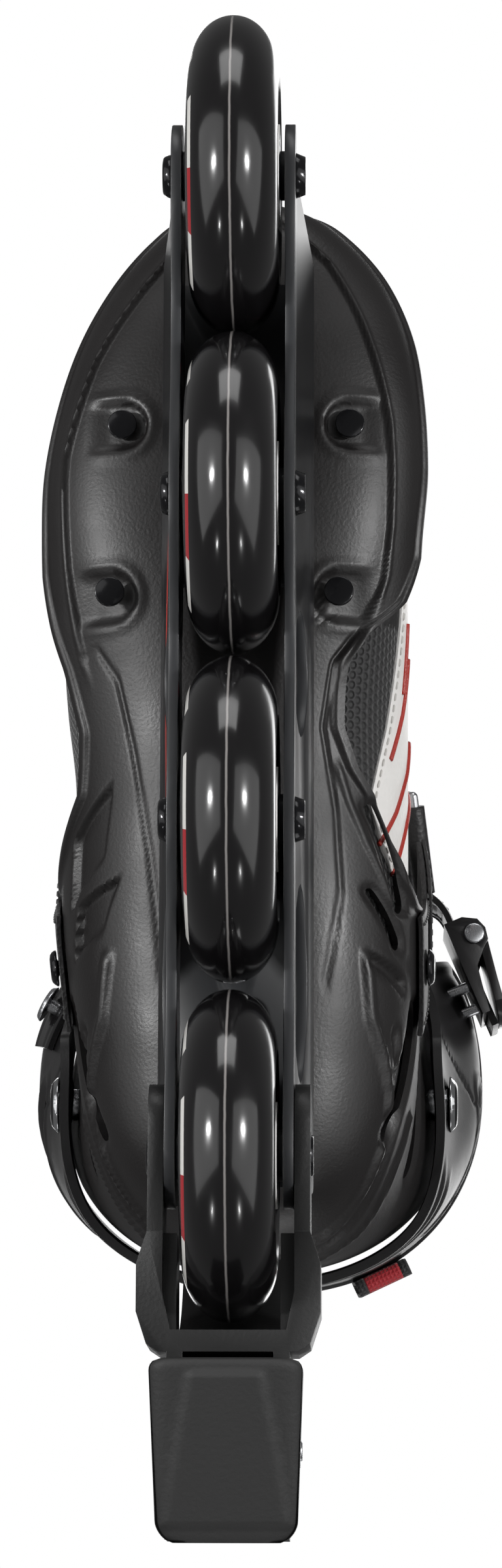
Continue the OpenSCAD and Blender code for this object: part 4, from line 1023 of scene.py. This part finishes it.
def puffed(piece, voxel, cap, channels):
    """Remesh, blow up by cloth pressure with each move capped, press the sewn channels in, and smooth.
    channels(points in mm) gives how deep each point is pressed along its normal."""
    even = piece.modifiers.new("even", "REMESH")
    even.mode = "VOXEL"
    even.voxel_size = voxel * MM
    settled(piece)
    start = coords(piece.data)
    cloth = piece.modifiers.new("cloth", "CLOTH")
    cloth.settings.use_pressure = True
    cloth.settings.uniform_pressure_force = 4
    cloth.settings.effector_weights.gravity = 0
    for moment in range(1, 21):
        bpy.context.scene.frame_set(moment)
    end = coords(piece.evaluated_get(bpy.context.evaluated_depsgraph_get()).data)
    move = end - start
    far = np.linalg.norm(move, axis=1, keepdims=True)
    start = start + move * np.minimum(1, cap * MM / np.maximum(far, 1e-9))
    piece.modifiers.clear()
    bpy.context.scene.frame_set(1)
    normals = np.empty(len(piece.data.vertices) * 3, np.float32)
    piece.data.vertices.foreach_get("normal", normals)
    start = start - normals.reshape(-1, 3) * channels(start / MM)[:, None] * MM
    piece.data.vertices.foreach_set("co", start.astype(np.float32).ravel())
    piece.data.polygons.foreach_set("use_smooth", np.ones(len(piece.data.polygons), bool))
    piece.data.update()
    smooth = piece.modifiers.new("smooth", "SUBSURF")
    smooth.levels = smooth.render_levels = 1
    return piece


def tube_of_skin(name, stations, angles, inner, outer, wrap):
    """A closed pad between two offsets of the foot surface: up the outside and down the inside."""
    if wrap:
        ss = np.concatenate([stations, stations[::-1]])[:, None]
        oo = np.concatenate([outer, inner[::-1]])[:, None]
        return add_skin(name, skin(ss, angles[None, :], oo), wrap_rows=True, wrap_cols=True, flip=True)
    aa = np.concatenate([angles, angles[::-1]])[None, :]
    top = skin(stations[:, None], angles[None, :], outer[:, None])
    under = skin(stations[:, None], angles[None, ::-1], inner[:, None])
    whole = np.concatenate([top, under], axis=1)
    rows, cols = whole.shape[:2]
    piece = add_skin(name, whole, wrap_cols=True, flip=True)
    caps = [list(range(cols)), [(rows - 1) * cols + j for j in range(cols)][::-1]]
    book = bmesh.new()
    book.from_mesh(piece.data)
    book.verts.ensure_lookup_table()
    for cap_list in caps:
        book.faces.new([book.verts[j] for j in cap_list])
    book.to_mesh(piece.data)
    book.free()
    return piece


# %% Liner
turn = np.arange(0, 360, 3.0)
sock_s = np.linspace(0, 19.2, 150)[:, None]
sock = add_skin("liner_sock", skin(sock_s, turn[None, :], 3.9), 3.4, wrap_cols=True, flip=True)
wear(sock, lining)
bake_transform(sock)
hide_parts("liner")
collar_s = np.linspace(19.0, 20.95, 22)
swell = np.sin(np.linspace(0.12, 0.88, 22) * np.pi) ** 0.35
collar = tube_of_skin("liner_collar", collar_s, turn, 2.4 - 2.1 * swell, 2.4 + 1.4 * swell, True)
collar = puffed(collar, 2.0, 1.3, lambda p: 0.9 * ridge(p[:, 2], 292 + 0.06 * (90 - p[:, 1]), 2.2))
wear(collar, brushed_knit)
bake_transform(collar)
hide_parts("liner")
print("collar faces", len(collar.data.polygons))

# %% Tongue
panel_skin("tongue_strip", 8.2, 18.4, 160, 200, 5.9, black_mesh, "tongue", 160, 24, 0.9)
pad_s = np.linspace(18.3, 20.95, 30)
pad_a = np.linspace(163, 197, 16)
pad_out = np.interp(pad_s, [18.3, 18.8, 20.6, 20.95], [5.9, 7.6, 8.2, 6.6])
pad = tube_of_skin("tongue_pad", pad_s, pad_a, np.full(30, 5.0), pad_out, False)
pad = puffed(pad, 1.6, 1.4, lambda p: 1.0 * ridge(p[:, 2], 300, 2.0) + 0.8 * ridge(p[:, 2], 286, 2.0))
wear(pad, brushed_knit)
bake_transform(pad)
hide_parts("tongue")
print("tongue pad faces", len(pad.data.polygons))

# %% Footbed
bed_s = np.linspace(2.5, 13, 90)[:, None]
bed_a = np.linspace(-52, 52, 50)[None, :]
bed = add_skin("footbed_skin", skin(bed_s, bed_a, -0.6), 2.6, edge=0.6, flip=True)
place_piece(bed, brushed_knit, "skate", "footbed")
print("footbed made")

# %% [markdown]
# ## Straps
# The instep strap is coated webbing with stitched edges. It loops round one bar of a steel wire ring, and
# a short tab from the other side holds the other bar. Both follow the foot surface at a height that climbs
# from the fabric onto the moulded base, and each rolled end is a sleeve round its bar.
# %% Instep strap and its tab


def climb(a, low, high, foot, top):
    """A height that rises in a straight line as the angle leaves the instep."""
    return low + (high - low) * np.clip((np.abs(180 - a) - foot) / (top - foot), 0, 1)


def near_instep(a):
    """1 on the instep, falling as a cosine to 0 on the foot's sides and below them."""
    return np.sin(np.radians(np.maximum(0, 90 - np.abs(180 - a))))


def strap_mid(a):
    """Station of the strap's middle line."""
    return 12.7 - 3.6 * near_instep(a)


def strap_half(a):
    """The strap's half width of 15 mm, in stations, which lie closer together on the instep."""
    return 15 * (0.049 + 0.028 * near_instep(a))


def strap_under(a):
    """Height of the strap's underside over the foot."""
    return climb(a, 7.1, 10.4, 30, 48)


def strap_piece(name, node, a0, a1, lift, wide, rows, thick):
    """A length of strap: its edges are 0.4 mm thinner than its middle, as folded webbing is."""
    aa = np.linspace(a0, a1, rows)[:, None]
    j = np.linspace(-1, 1, 17)[None, :] * wide
    height = strap_under(aa) + lift + 0.35 * (1 - np.abs(j) ** 6)
    piece = add_skin(name, skin(strap_mid(aa) + strap_half(aa) * j, aa, height), thick, edge=0.3)
    place_piece(piece, strap_leather, "skate", node)


def strap_stitch(name, node, angles, across, lift):
    """Stitches over the strap, along it or across it, at shares of its half width."""
    ss = strap_mid(angles) + strap_half(angles) * across
    sew(name, node, lambda up: skin(ss, angles, strap_under(angles) + up), lift, black_thread)


strap_piece("instep_strap_skin", "instep_strap", 123, 284, 1.6, 1.0, 260, 1.5)
strap_piece("instep_strap_flap", "instep_strap", 122, 140, 2.9, 0.93, 40, 1.1)
strap_piece("strap_tab_skin", "strap_tab", 74, 104, 1.6, 1.0, 60, 1.5)
strap_piece("strap_tab_hem", "strap_tab", 92, 105, 2.9, 0.96, 30, 1.1)
for side_name, k in (("low", -0.84), ("high", 0.84)):
    strap_stitch(f"strap_stitch_{side_name}", "instep_strap", np.linspace(124, 282, 200), k, 1.9)
    strap_stitch(f"flap_stitch_{side_name}", "instep_strap", np.linspace(123, 139, 200), k * 0.92, 3.1)
    strap_stitch(f"tab_stitch_{side_name}", "strap_tab", np.linspace(75, 103, 200), k, 1.9)
    strap_stitch(f"hem_stitch_{side_name}", "strap_tab", np.linspace(93, 104, 200), k * 0.94, 3.1)
for name, node, angle in (("flap_end_stitch", "instep_strap", 138.5), ("hem_end_stitch", "strap_tab", 93.5)):
    strap_stitch(name, node, np.array(angle), np.linspace(-0.8, 0.8, 40), 3.1)

# %% Sleeves round the ring's bars
RING_ANGLE, RING_OUT = 114.0, 12.8
ring_mid = float(strap_mid(RING_ANGLE))
centre = skin(ring_mid, RING_ANGLE, RING_OUT)
down = skin(ring_mid, RING_ANGLE - 4, RING_OUT) - skin(ring_mid, RING_ANGLE + 4, RING_OUT)
down /= np.linalg.norm(down)
along_s = skin(ring_mid + 0.2, RING_ANGLE, RING_OUT) - skin(ring_mid - 0.2, RING_ANGLE, RING_OUT)
out_dir = np.cross(down, along_s / np.linalg.norm(along_s))
out_dir /= np.linalg.norm(out_dir)
across_dir = np.cross(out_dir, down)
for name, node, shift in (("strap_sleeve", "instep_strap", -6), ("tab_sleeve", "strap_tab", 6)):
    path = centre + shift * down + np.linspace(-12.6, 12.6, 24)[:, None] * across_dir
    place_piece(add_tube(name, path, 2.95, 20), strap_leather, "skate", node)
print("straps made")

# %% [markdown]
# ## Cuff
# The cuff is a separate moulding that turns on the two pivots. Its edges are rolled, two shallow bands run
# round behind the ankle, and a long slot on each side lets the ankle breathe.
# %% Cuff moulding
CUFF_OUT, CUFF_EDGE = 15.1, 124.0


def cuff_low(a):
    """Height of the cuff's lower edge."""
    return np.where(np.abs(a) < 90, 196 - 18 * np.sin(np.radians(a)) ** 2,
                    178 + 54 * (np.maximum(0, np.abs(a) - 90) / (CUFF_EDGE - 90)) ** 0.9)


def cuff_high(a):
    """Height of the cuff's upper edge."""
    return 300 - 34 * (np.maximum(0, np.abs(a) - 50) / (CUFF_EDGE - 50)) ** 1.5


def cuff_place(h, a):
    """The cuff's surface at height h and angle a."""
    return at_height(h, a, CUFF_OUT)


def cuff_field(points):
    """Distance from the side slots and the pivots' holes."""
    y, z = points[..., 1], points[..., 2]
    return np.minimum(slot_distance(y, z, (90, 238), (116, 250), 4, 6),
                      slot_distance(y, z, (96, 195), (96, 195), 4.7, 4.7))


a = np.linspace(-CUFF_EDGE, CUFF_EDGE, 241)[:, None]
t = np.linspace(0, 1, 121)[None, :]
h = cuff_low(a) + (cuff_high(a) - cuff_low(a)) * t
a = np.broadcast_to(a, h.shape)
h, a, cuff_keep = slid_grid(h, a, cuff_place, cuff_field, 1.0, 1.0)
flat = cuff_place(h, a)
low_edge, high_edge = h - cuff_low(a), cuff_high(a) - h
side_edge = CUFF_EDGE - np.abs(a)           # a degree is about a millimetre here
nearest = np.minimum(np.minimum(low_edge, high_edge), side_edge)
relief = 0.9 * (1 - step(nearest, 2.2, 3.8))
relief += 0.7 * ridge(low_edge, 10, 2.2) * (1 - step(np.abs(a), 62, 74))
relief += 0.7 * ridge(low_edge, 17, 2.2) * (1 - step(np.abs(a), 58, 70))
hole = cuff_field(flat)
relief -= 1.0 * (1 - step(hole, 0.3, 2.6))
relief += 0.6 * ridge(hole, 4.5, 1.6) * (np.abs(flat[..., 2] - 244) < 22)
for sign in (1, -1):
    crease = at_height(np.array([212.0, 225, 262, 280]), sign * np.array([100.0, 86, 84, 78]), CUFF_OUT)
    relief -= 0.6 * ridge(line_distance(flat, crease), 0, 1.2)
cuff = add_skin("cuff_moulding", at_height(h, a, CUFF_OUT + relief), 2.5, keep=cuff_keep, edge=0.5)
place_piece(cuff, cuff_plastic, "cuff", "cuff_shell")
print("cuff faces", len(cuff.data.polygons))

# %% [markdown]
# ## Ladder strap
# A thick nylon strap is screwed to the cuff on one side, crosses the shin and runs through the buckle. Its
# free end is toothed for the buckle's ratchet. Its path is the surface, then a Bezier curve, then a straight.
# %% Ladder strap
LADDER_Z, LADDER_HALF = 246.0, 11
BUCKLE_TURN, BUCKLE_AT = math.radians(-23), np.array([62.3, 51.1, LADDER_Z])


def in_buckle(x, y, z):
    """From the buckle's own frame, x outwards, y back along the strap and z up, to the skate's."""
    c, w = math.cos(BUCKLE_TURN), math.sin(BUCKLE_TURN)
    x, y, z = np.broadcast_arrays(x, y, z)
    return BUCKLE_AT + np.stack([x * c - y * w, x * w + y * c, z], -1)


def on_ladder(a, j, off):
    """A point of the part that lies on the foot surface, j being the share of the half width."""
    return at_height(LADDER_Z + j * LADDER_HALF, a, climb(a, 8.5, 16.1, 12, 54) + off)


def bridge(t, j, off):
    """Cubic Bezier (1-t)^3 p + 3(1-t)^2 t (p + 13 ahead) + 3(1-t) t^2 r + t^3 q."""
    p = on_ladder(152 + 0 * j, j, off)
    ahead = p - on_ladder(155 + 0 * j, j, off)
    ahead = ahead / np.linalg.norm(ahead, axis=-1, keepdims=True)
    r, q = (in_buckle(1.9 + off, back, j * LADDER_HALF) for back in (-30, -17))
    t = t[..., None]
    return (1 - t) ** 3 * p + 3 * (1 - t) ** 2 * t * (p + 13 * ahead) + 3 * (1 - t) * t ** 2 * r + t ** 3 * q


j = np.linspace(-1, 1, 23)[None, :]
crown = 1.9 - 0.5 * step(np.abs(j), 0.86, 1.0)
aa = np.linspace(262, 152, 150)[:, None]
tt = np.linspace(0.01, 1, 90)[:, None]
yy = np.linspace(-16.5, 18, 40)[:, None]
saw = 0.8 * ((tt * 13) % 1.0) * (np.abs(j) < 0.62)
saw = saw * step(tt, 0.05, 0.12) * (1 - step(tt, 0.9, 0.97))
groove = 0.5 * ridge(np.abs(j), 0.55, 0.12)
rows_all = np.concatenate([on_ladder(aa + 0 * j, j + 0 * aa, crown - groove),
                           bridge(tt + 0 * j, j + 0 * tt, crown + saw),
                           in_buckle(1.9 + crown + 0 * yy, yy + 0 * j, j * LADDER_HALF + 0 * yy)])
ladder = add_skin("ladder_strap_skin", rows_all, 1.8, flip=True, edge=0.3)
place_piece(ladder, buckle_plastic, "cuff", "ladder_strap")
print("ladder rows", len(rows_all))

# %% [markdown]
# ## Pull loop
# A loop of red webbing with black selvedges stands at the back of the cuff. It is one flat band carried
# round a long narrow oval.
# %% Pull loop
corner = at_height(298.0, 29.0, 15.4)
beside = at_height(298.0, 26.0, 15.4)
spin = math.atan2(beside[1] - corner[1], beside[0] - corner[0]) - math.pi / 2
turn = np.linspace(0, 2 * np.pi, 61)[:-1]
oval_x = 2.8 + 2.6 * np.cos(turn)
oval_z = np.where(np.sin(turn) > 0, 12, -10) * step(np.abs(np.sin(turn)), 0, 0.12) + 2.6 * np.sin(turn)
width = np.linspace(-8.5, 8.5, 19)
tilt = math.radians(-6)
oval_x, oval_z = (oval_x * math.cos(tilt) + oval_z * math.sin(tilt),
                  oval_z * math.cos(tilt) - oval_x * math.sin(tilt))
lx, ly = oval_x[:, None] + 0 * width[None, :], width[None, :] + 0 * oval_x[:, None]
loop_points = corner + np.stack([lx * math.cos(spin) - ly * math.sin(spin),
                                 lx * math.sin(spin) + ly * math.cos(spin), oval_z[:, None] + 0 * ly], -1)
for name, part, webbing in (("pull_loop_middle", slice(3, 16), red_webbing),
                            ("pull_loop_low_edge", slice(0, 4), strap_webbing),
                            ("pull_loop_high_edge", slice(15, 19), strap_webbing)):
    place_piece(add_skin(name, loop_points[:, part], 1.1, wrap_rows=True), webbing, "cuff", "pull_loop")
print("pull loop made")

# %% [markdown]
# ## Brake pad
# The pad is one lump of rubber. Each cross-section along the skate is a rounded rectangle, and its wearing
# face has a raised middle with sloping sides.
# %% Brake pad


def add_brake_pad():
    """Sections along y: a superellipse of power 6 between the wearing face and the top, half 19 wide."""
    front, rear, top = 183.0, 227.0, 30.0
    y = np.concatenate([[front, front], np.linspace(front, rear, 60), [rear, rear]])[:, None]
    turn = np.linspace(0, 2 * np.pi, 121)[:-1][None, :]
    t = (y - front) / (rear - front)
    face = 8 + (rear - front) * math.tan(math.radians(20)) * t
    c, w = np.cos(turn), np.sin(turn)
    size = (np.abs(c) ** 6 + np.abs(w) ** 6) ** (-1 / 6)
    end = np.minimum(y - front, rear - y)
    shrink = np.sqrt(np.clip(1 - (1 - np.clip(end / 3, 0, 1)) ** 2, 0, 1))
    half_w = (19 - 1.6 * t - 1.5 * step(y, 222, rear)) * (0.84 + 0.16 * shrink)
    half_h = (top - face) / 2 * (0.84 + 0.16 * shrink)
    half_w[:1], half_h[:1], half_w[-1:], half_h[-1:] = 0.2, 0.2, 0.2, 0.2
    x = size * c * half_w
    z = (face + top) / 2 + size * w * half_h
    raised = (1 - step(np.abs(x) - 0.19 * (y - 187), 8.2, 9.8)) * step(y, 186, 187.6) * (1 - step(y, 222.5, 224))
    z = z + 1.4 * (w < -0.5) * (1 - raised)
    return add_skin("brake_pad_block", np.stack([x, y + 0 * x, z], -1), wrap_cols=True, flip=True)


pad_block = add_brake_pad()
lug = add_block("brake_pad_lug", 202.0, 17, 11, 29, 45.5, 0)
for piece in (pad_block, lug):
    place_piece(piece, brake_rubber, "skate", "brake_pad")
print("brake pad made")

# %% [markdown]
# ## Gussets
# The bracket is stiffened beside and behind the last wheel: a plate in each corner, and a curved web that
# follows the tread a few millimetres away from it.
# %% Bracket gussets
GUSSET_YZ = np.array([[150, 36], [176, 32.5], [176, 52.5], [150, 51]], float)
gussets = []
for sign in (-1, 1):
    thick_x = np.array([13.0, 13.0, 16.4, 16.4])[:, None] * sign
    inset = np.array([1.0, 0.0, 0.0, 1.0])[:, None]             # the first and last rows shrink to a point
    ys, zs = (GUSSET_YZ[None, :, k] + (GUSSET_YZ[:, k].mean() - GUSSET_YZ[None, :, k]) * inset for k in (0, 1))
    gussets.append(add_skin(f"gusset_{sign + 1}", np.stack([thick_x + 0 * ys, ys, zs], -1), wrap_cols=True,
                            flip=sign > 0))
around = np.radians(np.linspace(0, 60, 25))[:, None]
across = np.linspace(-13.1, 13.1, 9)[None, :]
web_radius = WHEEL_RADIUS + 2.6
web = np.stack([across + 0 * around, 1.5 * WHEEL_PITCH + web_radius * np.cos(around) + 0 * across,
                WHEEL_RADIUS + web_radius * np.sin(around) + 0 * across], -1)
gussets.append(add_skin("gusset_web", web))
gusset = joined("bracket_gussets", gussets)
gusset.data.polygons.foreach_set("use_smooth", np.zeros(len(gusset.data.polygons), bool))
place_piece(gusset, bracket_plastic, "skate", "brake_bracket")

# %% Sizes of the finished scene
low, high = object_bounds()
